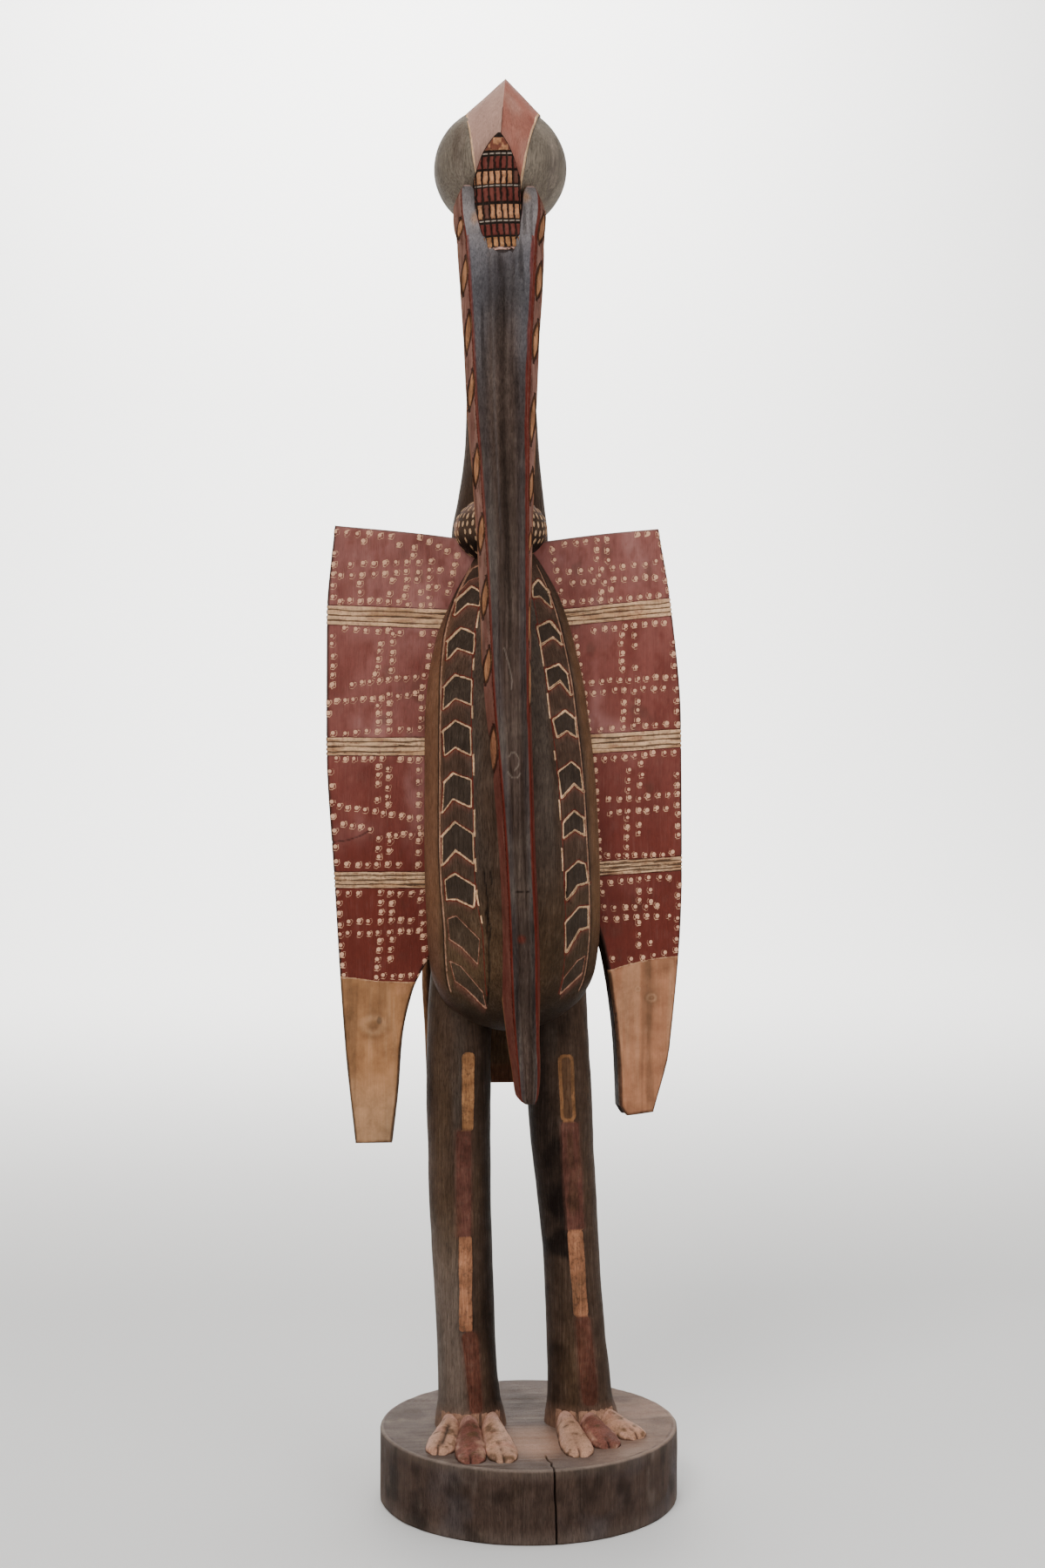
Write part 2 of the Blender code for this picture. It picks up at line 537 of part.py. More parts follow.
def toe(name: str, ankle: Vector, tip: Vector, group: bpy.types.Collection) -> bpy.types.Object:
    """Ridged wedge that slopes from the ankle to a rounded tip, its underside sunk into the base."""
    along = (tip - ankle).normalized()
    right = Vector((0.0, 0.0, 1.0)).cross(along)
    length = (tip - ankle).length
    rings = []
    for share, width, height in TOE_LEVELS:
        half = width * TOE_WIDTH / 2
        rise = TOE_TIP_HEIGHT + height * (TOE_ANKLE_HEIGHT - TOE_TIP_HEIGHT)
        centre = ankle + along * length * share
        shoulder, ridge, low = half * TOE_SHOULDER, half * TOE_RIDGE, rise * TOE_SHOULDER_HEIGHT
        section = ((-half, -TOE_SINK), (half, -TOE_SINK), (shoulder, low), (ridge, rise),
                   (-ridge, rise), (-shoulder, low))
        rings.append([centre + right * out + Vector((0.0, 0.0, up)) for out, up in section])
    return loft(name, np.array(rings), group)


def body_point(z: float, share: float) -> Vector:
    """Point on the front of the body, at a height and a share (-1 to 1) of its half width across."""
    at = read_levels(BODY, np.array([z]))
    middle = (at["front"][0] + at["back"][0]) / 2
    half_depth = (at["back"][0] - at["front"][0]) / 2
    out = at["x"][0] + share * at["half_width"][0]
    return Vector((out, middle - half_depth * math.sqrt(1 - share**2), z))


def body_normal(z: float, share: float) -> Vector:
    """Outward direction of the body's front at a height and a share across."""
    small = 0.002
    up = body_point(z + small, share) - body_point(z - small, share)
    across = body_point(z, share + small) - body_point(z, share - small)
    return across.cross(up).normalized()


def groove(name: str, path: Sequence[Vector], normals: Sequence[Vector], width: float, depth: float,
           closed: bool, group: bpy.types.Collection) -> bpy.types.Object:
    """Cutter for a V groove along a path on a surface: a triangle, point down, swept with mitred corners."""
    count = len(path)
    spread = width / 2 * (depth + GROOVE_LIFT) / depth
    rings = []
    for k, (point, normal) in enumerate(zip(path, normals)):
        before = path[k - 1] if closed or k else None
        after = path[(k + 1) % count] if closed or k < count - 1 else None
        arrive = (point - before).normalized() if before is not None else (after - point).normalized()
        leave = (after - point).normalized() if after is not None else arrive
        along = (arrive + leave).normalized()
        stretch = 1 / max(along.dot(leave), GROOVE_MITRE)
        side = normal.cross(along).normalized() * spread * stretch
        rim = point + normal * GROOVE_LIFT
        rings.append((point - normal * depth, rim + side, rim - side))
    return loft(name, np.array(rings), group, closed)


def join(name: str, pieces: Sequence[bpy.types.Object], group: bpy.types.Collection) -> bpy.types.Object:
    """One object that holds the meshes of several pieces, which are removed."""
    bm = bmesh.new()
    for piece in pieces:
        bm.from_mesh(piece.data)
        bpy.data.objects.remove(piece)
    mesh = bpy.data.meshes.new(name)
    bm.to_mesh(mesh)
    bm.free()
    return new_object(name, mesh, group)


def chevron_cutters(side: int, group: bpy.types.Collection) -> list:
    """Cutters for one belly band: its two long border lines and the arrow-shaped outlines between them."""
    outer, inner = side * BAND_OUTER[side], side * BAND_INNER
    heights = np.linspace(BAND_FOOT_Z, BAND_TOP_Z, BORDER_STEPS)
    borders = []
    for share in (outer, inner):
        path = [body_point(z, share) for z in heights]
        normals = [body_normal(z, share) for z in heights]
        borders.append(groove("border", path, normals, BELLY_GROOVE_WIDTH, BELLY_GROOVE_DEPTH, False, group))
    arrows = []
    near_outer, apex, near_inner = [outer * (1 - share) + inner * share for share in CHEVRON_ACROSS]
    for row in range(CHEVRONS):
        top = CHEVRON_TOP_Z[side] - row * CHEVRON_PITCH
        foot = top - CHEVRON_HEIGHT
        corners = [(top - CHEVRON_DROP, near_outer), (top, apex), (top - CHEVRON_DROP, near_inner),
                   (foot - CHEVRON_DROP, near_inner), (foot, apex), (foot - CHEVRON_DROP, near_outer)]
        path = [body_point(z, share) for z, share in corners]
        normals = [body_normal(z, share) for z, share in corners]
        arrows.append(groove("arrow", path, normals, BELLY_GROOVE_WIDTH, BELLY_GROOVE_DEPTH, True, group))
    flank = "left" if side > 0 else "right"
    return [join(f"borders_{flank}", borders, group), join(f"chevrons_{flank}", arrows, group)]


def wing_band_cutter(side: int, group: bpy.types.Collection) -> bpy.types.Object:
    """Cutter for the grooves of a wing's three bands."""
    frame = wing_frame(side)
    normal = frame.to_3x3() @ Vector((0.0, 0.0, 1.0))
    size = (BAND_GROOVE_WIDTH, BAND_GROOVE_DEPTH)
    lines = []
    for inner, outer in WING_BANDS[side]:
        for row in range(BAND_GROOVES):
            share = row / (BAND_GROOVES - 1)
            ends = ((BAND_START, inner), (BAND_END, outer))
            path = [frame @ Vector((out, low + (high - low) * share, 0.0)) for out, (low, high) in ends]
            lines.append(groove("line", path, [normal] * 2, *size, False, group))
    return join(f"wing_lines_{side}", lines, group)


def casque_cutters(group: bpy.types.Collection) -> list:
    """Cutters for the casque's grid: lines between its rows, which climb to one side, and its columns."""
    forward = Vector((0.0, -1.0, 0.0))
    size = (CASQUE_GROOVE_WIDTH, CASQUE_GROOVE_DEPTH)
    rows, columns = [], []
    for z in CASQUE_ROW_LINES:
        reach = float(read_levels(CASQUE, np.array([z]))["half_width"][0])
        path = []
        for share in CASQUE_ROW_SHARES:
            across = share * reach
            within = max(-reach, min(reach, across))
            point = casque_point(z, within)
            path.append(Vector((point.x + across - within, point.y, z + CASQUE_ROW_TILT * across)))
        rows.append(groove("row", path, [forward] * len(path), *size, False, group))
    for column in range(1, CASQUE_COLUMNS):
        across = (column - CASQUE_COLUMNS / 2) * CASQUE_COLUMN_PITCH
        heights = [z for z in np.linspace(CASQUE_GRID_FOOT, CASQUE_GRID_TOP, CASQUE_COLUMN_STEPS)
                   if read_levels(CASQUE, np.array([z]))["half_width"][0] > abs(across) + CASQUE_RIM]
        path = [casque_point(z, across) for z in heights]
        columns.append(groove("column", path, [forward] * len(path), *size, False, group))
    return [join("casque_rows", rows, group), join("casque_columns", columns, group)]


def split_cutter(group: bpy.types.Collection) -> bpy.types.Object:
    """Cutter for the drying split: a thin wedge through the base's front, closing towards its middle."""
    reach = 0.010
    rings = []
    for z, x in ((-reach, SPLIT_FOOT_X), (BASE_HEIGHT + reach, SPLIT_TOP_X)):
        rings.append(((x - SPLIT_HALF_WIDTH, -BASE_RADIUS - reach, z),
                      (x + SPLIT_HALF_WIDTH, -BASE_RADIUS - reach, z),
                      (x - SPLIT_HALF_WIDTH, SPLIT_INNER_Y, z)))
    return loft("split", np.array(rings), group)


def painted_wood() -> bpy.types.Material:
    """Dark stained wood, as the body and the base show it."""
    material = bpy.data.materials.new("stained_wood")
    material.use_nodes = True
    shader = material.node_tree.nodes["Principled BSDF"]
    shader.inputs["Base Color"].default_value = WOOD_COLOUR
    shader.inputs["Roughness"].default_value = WOOD_ROUGHNESS
    shader.inputs["Metallic"].default_value = 0.0
    return material


def boolean(item: bpy.types.Object, other: bpy.types.Object, operation: str) -> None:
    """Unites a solid with another one, or cuts that one out of it, and turns the other one into a guide."""
    modifier = item.modifiers.new(other.name, "BOOLEAN")
    modifier.operation = operation
    modifier.solver = "EXACT"
    modifier.object = other
    other.hide_render = True
    other.display_type = "WIRE"


def carved(item: bpy.types.Object, cutters: Sequence[bpy.types.Object]) -> bpy.types.Object:
    """The item with its own grooves cut, before it is united with the figure."""
    for cutter in cutters:
        boolean(item, cutter, "DIFFERENCE")
    return item


def main() -> None:
    """Builds the carving."""
    for item in list(bpy.data.objects):
        bpy.data.objects.remove(item, do_unlink=True)
    parts = bpy.data.collections.new("senufo_bird_figure")
    guides = bpy.data.collections.new("guides")
    for group in (parts, guides):
        bpy.context.scene.collection.children.link(group)
    figure = oval_loft("carved_bird", BODY, BODY_SIDES, parts)
    figure.data.materials.append(painted_wood())
    carved(figure, chevron_cutters(-1, guides) + chevron_cutters(1, guides))
    forms = [
        oval_loft("neck", NECK, NECK_SIDES, guides),
        ellipsoid("goitre", GOITRE_CENTRE, GOITRE_RADII, *GOITRE_FACETS, guides),
        ellipsoid("head", HEAD_CENTRE, HEAD_RADII, *HEAD_FACETS, guides),
        crest(guides),
        beak_loft("beak", BEAK, BEAK_GROOVE_DEPTH, guides),
        carved(casque(guides), casque_cutters(guides)),
        slab_loft("tail", TAIL, TAIL_EDGE, guides),
        carved(wing(-1, guides), [wing_band_cutter(-1, guides)]),
        carved(wing(1, guides), [wing_band_cutter(1, guides)]),
        carved(base(guides), [split_cutter(guides)]),
    ]
    forms += [beak_loft(name, levels, 0.0, guides) for name, levels in PRONGS.items()]
    forms += [oval_loft(name, levels, LEG_SIDES, guides) for name, levels in LEGS.items()]
    forms += [toe(f"toe_{i + 1}", ankle, tip, guides) for i, (ankle, tip) in enumerate(TOES)]
    for form in forms:
        boolean(figure, form, "UNION")


main()
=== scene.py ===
"""Senufo hornbill figure, finished: one carving with painted relief, standing on its round base.

Every form is a closed surface of rings, made from a short table of levels, as in the part's own source. Relief and
paint are worked out for all its points at once: relief moves a point along its normal, and paint is kept as an
attribute that the materials read. Lengths are metres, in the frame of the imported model, and the bird faces -Y.
"""
from __future__ import annotations

import logging
import math
from dataclasses import dataclass, field
from enum import Enum
from typing import Callable, NamedTuple, Sequence

import bpy
import numpy as np
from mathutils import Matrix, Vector


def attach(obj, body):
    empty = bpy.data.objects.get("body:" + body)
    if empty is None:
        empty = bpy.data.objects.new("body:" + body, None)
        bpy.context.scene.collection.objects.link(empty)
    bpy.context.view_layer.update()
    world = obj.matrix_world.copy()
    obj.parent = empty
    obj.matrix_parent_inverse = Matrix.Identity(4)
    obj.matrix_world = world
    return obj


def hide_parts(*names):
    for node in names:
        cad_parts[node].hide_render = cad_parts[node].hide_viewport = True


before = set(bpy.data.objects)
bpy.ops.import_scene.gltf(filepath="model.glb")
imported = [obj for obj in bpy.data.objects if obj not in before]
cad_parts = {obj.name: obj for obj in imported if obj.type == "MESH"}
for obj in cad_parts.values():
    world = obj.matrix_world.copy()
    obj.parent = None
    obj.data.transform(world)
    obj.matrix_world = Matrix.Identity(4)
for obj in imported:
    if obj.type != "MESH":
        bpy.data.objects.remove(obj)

LOG = logging.getLogger("senufo_bird")
NODE = "carved_bird"
BODY_NAME = "root"


# Colour


def linear(code: str) -> np.ndarray:
    """Linear colour of a hex code.

    Args:
        code: Six hex digits of a display colour.

    Returns:
        Red, green and blue from 0 to 1. A channel c becomes ((c + 0.055) / 1.055) to the power 2.4, or c / 12.92
        where it is under 0.04045.
    """
    value = np.array([int(code[i:i + 2], 16) for i in (0, 2, 4)]) / 255.0
    return np.where(value < 0.04045, value / 12.92, ((value + 0.055) / 1.055) ** 2.4)


class Pigment(Enum):
    """Earth colours, stains and painted shade on the carving, as hex codes."""

    CREAM = "dfb48c"
    DOT = "e8b592"
    ORANGE_CREAM = "c48a63"
    PINK_CREAM = "cfa090"
    TAN = "a8764f"
    TAN_ROSE = "ae7656"
    TOE = "ad846c"
    PINK_TAN = "a87e66"
    OXBLOOD = "602d27"
    DARK_RED = "66231a"
    BRICK = "955e50"
    ROSE_TAN = "ad897a"
    WING_RED = "7f463e"
    WING_ROSE = "ad7b74"
    WING_DEEP = "652b22"
    MAUVE_BROWN = "6f463b"
    LEG_RED = "6b4235"
    CHARCOAL = "362e2c"
    SLATE = "4e4e53"
    BLUE_GREY = "66605f"
    HEAD_OLIVE = "766b5e"
    FIELD = "3c322a"
    STAIN = "48372c"
    STAIN_WARM = "55402c"
    STAIN_GREY = "504841"
    # Near-black for soot, cracks and cut lines, and also for painted shade under and between parts.
    SOOT_AND_SHADE = "17100d"
    EARTH_BLACK = "281e19"
    BASE_TOP = "74635a"
    BASE_SIDE = "4a3a32"
    DUST = "ab9a8c"
    OCHRE = "a4713f"

    @property
    def rgb(self) -> np.ndarray:
        """Linear red, green and blue."""
        return linear(self.value)


# Sums over arrays


def smooth_curve(knots: Sequence[float], values: Sequence[float], at: np.ndarray) -> np.ndarray:
    """Values on a smooth curve through knots that never overshoots them.

    Args:
        knots: Rising places of the knots.
        values: Value at each knot.
        at: Places to read.

    Returns:
        The cubic Hermite curve at those places, whose slope at a knot is the harmonic mean of the slopes beside it.
    """
    k, v = np.asarray(knots, float), np.asarray(values, float)
    gap = np.diff(k)
    slope = np.diff(v) / gap
    same_way = slope[:-1] * slope[1:] > 0
    total = np.where(same_way, slope[:-1] + slope[1:], 1.0)
    inner = np.where(same_way, 2 * slope[:-1] * slope[1:] / total, 0.0)
    tangent = np.concatenate(([slope[0]], inner, [slope[-1]]))
    i = np.clip(np.searchsorted(k, at) - 1, 0, len(k) - 2)
    t = np.clip((at - k[i]) / gap[i], 0.0, 1.0)
    between = v[i] * (1 - t) ** 2 * (1 + 2 * t) + v[i + 1] * t**2 * (3 - 2 * t)
    return between + gap[i] * t * (1 - t) * (tangent[i] * (1 - t) - tangent[i + 1] * t)


def ramp(low: float, high: float, value: np.ndarray) -> np.ndarray:
    """Smooth step.

    Args:
        low: Value where the step starts, at 0.
        high: Value where it ends, at 1; it may be the lower of the two.
        value: Values to map.

    Returns:
        t * t * (3 - 2t), where t is how far each value has gone from low to high, from 0 to 1.
    """
    t = np.clip((value - low) / (high - low), 0.0, 1.0)
    return t * t * (3 - 2 * t)


def band(value: np.ndarray, centre: float | np.ndarray, half: float | np.ndarray, soft: float) -> np.ndarray:
    """Mask of a stripe: 1 within half of the centre, falling to 0 over a soft edge.

    Args:
        value: Values to test.
        centre: Middle of the stripe.
        half: Half its width.
        soft: Width of the soft edge, centred on the stripe's border.

    Returns:
        The smooth step of half - |value - centre| over the soft edge.
    """
    return ramp(-soft / 2, soft / 2, half - np.abs(value - centre))


def lattice(cell: np.ndarray, seed: int) -> np.ndarray:
    """Repeatable random number from 0 to 1 for each whole-number cell.

    Args:
        cell: Whole-number coordinates, the last axis being x, y, z.
        seed: Picks another set of numbers.

    Returns:
        The low bits of the coordinates, each times a large prime, added, and mixed twice by shift and multiply.
    """
    c = cell.astype(np.int64).astype(np.uint32)
    h = c[..., 0] * np.uint32(374761393) + c[..., 1] * np.uint32(668265263) + c[..., 2] * np.uint32(2246822519)
    h = h + np.uint32(seed * 974711 & 0xFFFFFFFF)
    h = (h ^ (h >> np.uint32(13))) * np.uint32(1274126177)
    h = (h ^ (h >> np.uint32(16))) * np.uint32(2654435761)
    return ((h ^ (h >> np.uint32(15))) & np.uint32(0xFFFFFF)) / float(0xFFFFFF)


def noise(points: np.ndarray, scale: Sequence[float], seed: int, octaves: int = 3) -> np.ndarray:
    """Soft random field from -1 to 1.

    Args:
        points: Coordinates, the last axis being x, y, z.
        scale: Cells per metre along each axis.
        seed: Picks another field.
        octaves: How many times a finer copy, twice the scale and half the strength, is added.

    Returns:
        Value noise: the random numbers at the eight corners of a point's cell, blended by smooth steps.
    """
    total = np.zeros(points.shape[:-1])
    weight_sum = 0.0
    for octave in range(octaves):
        p = points * (np.asarray(scale, float) * 2**octave) + 17.3 * octave
        cell = np.floor(p)
        t = p - cell
        t = t * t * (3 - 2 * t)
        value = np.zeros(points.shape[:-1])
        for corner in range(8):
            step = np.array([corner & 1, corner >> 1 & 1, corner >> 2 & 1])
            weight = np.prod(np.where(step == 1, t, 1 - t), axis=-1)
            value += weight * lattice(cell + step, seed + octave)
        strength = 0.5**octave
        total += strength * (value * 2 - 1)
        weight_sum += strength
    return total / weight_sum


def line_distance(u: np.ndarray, v: np.ndarray, path: Sequence[tuple]) -> np.ndarray:
    """Distance in a plane from each point to a run of straight lines.

    Args:
        u: First coordinate of the points.
        v: Second coordinate of the points.
        path: Corners of the run.

    Returns:
        The least, over the run's parts, of the distance to the nearest place on that part.
    """
    best = np.full(u.shape, np.inf)
    for (a, b), (c, d) in zip(path, path[1:]):
        across, up = c - a, d - b
        t = np.clip(((u - a) * across + (v - b) * up) / (across**2 + up**2), 0.0, 1.0)
        best = np.minimum(best, np.hypot(u - a - t * across, v - b - t * up))
    return best


# Tables of levels, shared with the solids


class Level(NamedTuple):
    """One level of a form: its height, its centre across, its half width, and its front and back."""

    z: float
    x: float
    half_width: float
    front: float
    back: float


class BeakLevel(NamedTuple):
    """One level of the beak: middle and half width of its front, how far its sides spread, front and back."""

    z: float
    x: float
    half_width: float
    spread_left: float
    spread_right: float
    front: float
    back: float


BODY = (
    Level(0.4960, -0.0200, 0.0200, -0.0350, 0.0250),
    Level(0.5020, -0.0200, 0.0380, -0.0560, 0.0420),
    Level(0.5120, -0.0198, 0.0560, -0.0720, 0.0550),
    Level(0.5300, -0.0190, 0.0750, -0.0870, 0.0660),
    Level(0.5600, -0.0178, 0.0872, -0.0990, 0.0740),
    Level(0.6000, -0.0175, 0.0912, -0.1075, 0.0790),
    Level(0.6600, -0.0187, 0.0924, -0.1130, 0.0810),
    Level(0.7550, -0.0211, 0.0902, -0.1125, 0.0790),
    Level(0.8460, -0.0253, 0.0842, -0.1030, 0.0755),
    Level(0.9060, -0.0263, 0.0728, -0.0890, 0.0725),
    Level(0.9480, -0.0242, 0.0580, -0.0720, 0.0715),
    Level(0.9800, -0.0236, 0.0420, -0.0520, 0.0680),
    Level(1.0050, -0.0240, 0.0280, -0.0300, 0.0580),
    Level(1.0200, -0.0245, 0.0160, -0.0120, 0.0520),
)

NECK = (
    Level(0.8500, -0.0265, 0.0420, -0.0050, 0.0680),
    Level(0.9200, -0.0270, 0.0490, -0.0120, 0.0728),
    Level(0.9850, -0.0285, 0.0525, -0.0190, 0.0750),
    Level(1.0220, -0.0284, 0.0516, -0.0160, 0.0742),
    Level(1.0520, -0.0275, 0.0470, -0.0110, 0.0715),
    Level(1.0900, -0.0265, 0.0420, -0.0070, 0.0690),
    Level(1.1270, -0.0262, 0.0390, -0.0050, 0.0670),
    Level(1.2000, -0.0275, 0.0365, -0.0050, 0.0640),
    Level(1.2900, -0.0300, 0.0365, -0.0070, 0.0600),
    Level(1.3500, -0.0310, 0.0420, -0.0150, 0.0560),
    Level(1.3900, -0.0310, 0.0480, -0.0200, 0.0500),
)

LEG_RIGHT = (
    Level(0.0650, -0.0615, 0.0385, -0.0370, 0.0400),
    Level(0.0850, -0.0620, 0.0365, -0.0345, 0.0380),
    Level(0.1050, -0.0633, 0.0328, -0.0310, 0.0350),
    Level(0.1510, -0.0657, 0.0313, -0.0290, 0.0345),
    Level(0.2440, -0.0694, 0.0320, -0.0280, 0.0370),
    Level(0.3370, -0.0731, 0.0330, -0.0260, 0.0410),
    Level(0.4290, -0.0740, 0.0340, -0.0240, 0.0450),
    Level(0.5000, -0.0725, 0.0345, -0.0220, 0.0480),
    Level(0.6200, -0.0640, 0.0320, -0.0150, 0.0520),
)

LEG_LEFT = (
    Level(0.0650, 0.0575, 0.0410, -0.0360, 0.0400),
    Level(0.0850, 0.0565, 0.0385, -0.0335, 0.0380),
    Level(0.1050, 0.0547, 0.0345, -0.0310, 0.0350),
    Level(0.1480, 0.0519, 0.0323, -0.0290, 0.0340),
    Level(0.2400, 0.0467, 0.0300, -0.0270, 0.0350),
    Level(0.3350, 0.0397, 0.0322, -0.0260, 0.0400),
    Level(0.3810, 0.0360, 0.0341, -0.0250, 0.0430),
    Level(0.4600, 0.0315, 0.0350, -0.0235, 0.0470),
    Level(0.6200, 0.0240, 0.0360, -0.0150, 0.0520),
)

TAIL = (
    Level(0.4215, -0.0205, 0.0835, 0.0900, 0.1080),
    Level(0.4800, -0.0205, 0.0860, 0.0860, 0.1060),
    Level(0.5400, -0.0205, 0.0890, 0.0800, 0.1020),
    Level(0.6000, -0.0205, 0.0840, 0.0720, 0.0970),
    Level(0.6800, -0.0205, 0.0640, 0.0600, 0.0900),
    Level(0.7600, -0.0210, 0.0420, 0.0450, 0.0822),
    Level(0.8200, -0.0215, 0.0280, 0.0350, 0.0700),
)

CASQUE = (
    Level(1.2960, -0.0352, 0.0145, -0.0975, -0.0600),
    Level(1.3020, -0.0353, 0.0161, -0.0970, -0.0580),
    Level(1.3209, -0.0365, 0.0197, -0.0925, -0.0500),
    Level(1.3388, -0.0378, 0.0224, -0.0885, -0.0350),
    Level(1.3520, -0.0386, 0.0240, -0.0865, -0.0200),
    Level(1.3747, -0.0392, 0.0242, -0.0850, -0.0200),
    Level(1.3926, -0.0394, 0.0197, -0.0848, -0.0200),
    Level(1.4016, -0.0392, 0.0166, -0.0846, -0.0200),
    Level(1.4100, -0.0388, 0.0125, -0.0844, -0.0200),
    Level(1.4195, -0.0382, 0.0064, -0.0838, -0.0200),
    Level(1.4257, -0.0375, 0.0012, -0.0830, -0.0200),
)

BEAK = (
    BeakLevel(0.4330, -0.0085, 0.0048, 0.0030, 0.0030, -0.1180, -0.1000),
    BeakLevel(0.4400, -0.0100, 0.0080, 0.0040, 0.0040, -0.1215, -0.0960),
    BeakLevel(0.4600, -0.0106, 0.0094, 0.0050, 0.0050, -0.1255, -0.0935),
    BeakLevel(0.5000, -0.0133, 0.0106, 0.0070, 0.0060, -0.1315, -0.0900),
    BeakLevel(0.5400, -0.0153, 0.0116, 0.0085, 0.0080, -0.1370, -0.0880),
    BeakLevel(0.6000, -0.0172, 0.0122, 0.0095, 0.0100, -0.1425, -0.0880),
    BeakLevel(0.6700, -0.0207, 0.0122, 0.0095, 0.0105, -0.1470, -0.0900),
    BeakLevel(0.7600, -0.0253, 0.0140, 0.0090, 0.0100, -0.1500, -0.0900),
    BeakLevel(0.8460, -0.0302, 0.0168, 0.0080, 0.0090, -0.1510, -0.0880),
    BeakLevel(0.9330, -0.0328, 0.0187, 0.0065, 0.0085, -0.1510, -0.0930),
    BeakLevel(0.9850, -0.0341, 0.0201, 0.0063, 0.0090, -0.1500, -0.0980),
    BeakLevel(1.0720, -0.0367, 0.0232, 0.0066, 0.0110, -0.1450, -0.0980),
    BeakLevel(1.1430, -0.0386, 0.0259, 0.0070, 0.0135, -0.1350, -0.0880),
    BeakLevel(1.2150, -0.0379, 0.0291, 0.0070, 0.0140, -0.1200, -0.0720),
    BeakLevel(1.2900, -0.0368, 0.0334, 0.0068, 0.0155, -0.1000, -0.0430),
    BeakLevel(1.3180, -0.0364, 0.0350, 0.0062, 0.0155, -0.0900, -0.0260),
    BeakLevel(1.3450, -0.0362, 0.0310, 0.0065, 0.0100, -0.0640, -0.0080),
)

PRONG_RIGHT = (
    BeakLevel(1.2750, -0.0540, 0.0110, 0.0030, 0.0000, -0.0980, -0.0600),
    BeakLevel(1.3200, -0.0636, 0.0083, 0.0066, 0.0000, -0.0888, -0.0360),
    BeakLevel(1.3470, -0.0680, 0.0072, 0.0062, 0.0000, -0.0805, -0.0200),
    BeakLevel(1.3620, -0.0685, 0.0074, 0.0050, 0.0000, -0.0765, -0.0200),
    BeakLevel(1.3700, -0.0692, 0.0060, 0.0035, 0.0000, -0.0725, -0.0200),
    BeakLevel(1.3742, -0.0698, 0.0030, 0.0015, 0.0000, -0.0680, -0.0200),
)

PRONG_LEFT = (
    BeakLevel(1.2750, -0.0160, 0.0100, 0.0000, 0.0070, -0.0980, -0.0600),
    BeakLevel(1.3200, -0.0101, 0.0089, 0.0000, 0.0145, -0.0888, -0.0360),
    BeakLevel(1.3470, -0.0053, 0.0084, 0.0000, 0.0140, -0.0805, -0.0200),
    BeakLevel(1.3620, -0.0045, 0.0080, 0.0000, 0.0120, -0.0765, -0.0200),
    BeakLevel(1.3700, -0.0042, 0.0062, 0.0000, 0.0085, -0.0725, -0.0200),
    BeakLevel(1.3742, -0.0040, 0.0032, 0.0000, 0.0030, -0.0680, -0.0200),
)


def read_levels(levels: Sequence[NamedTuple], at: np.ndarray) -> dict:
    """Every column of a table of levels, read smoothly at heights.

    Args:
        levels: The table.
        at: Heights to read.

    Returns:
        An array for each of the table's columns but the height.
    """
    heights = [level.z for level in levels]
    names = levels[0]._fields[1:]
    return {name: smooth_curve(heights, [getattr(level, name) for level in levels], at) for name in names}


# Surfaces

FAR = 4.0


class Layer(Enum):
    """Kinds of crisp mark, by their place in a skin's marks."""

    LIGHT = 0
    RED = 1
    CUT = 2


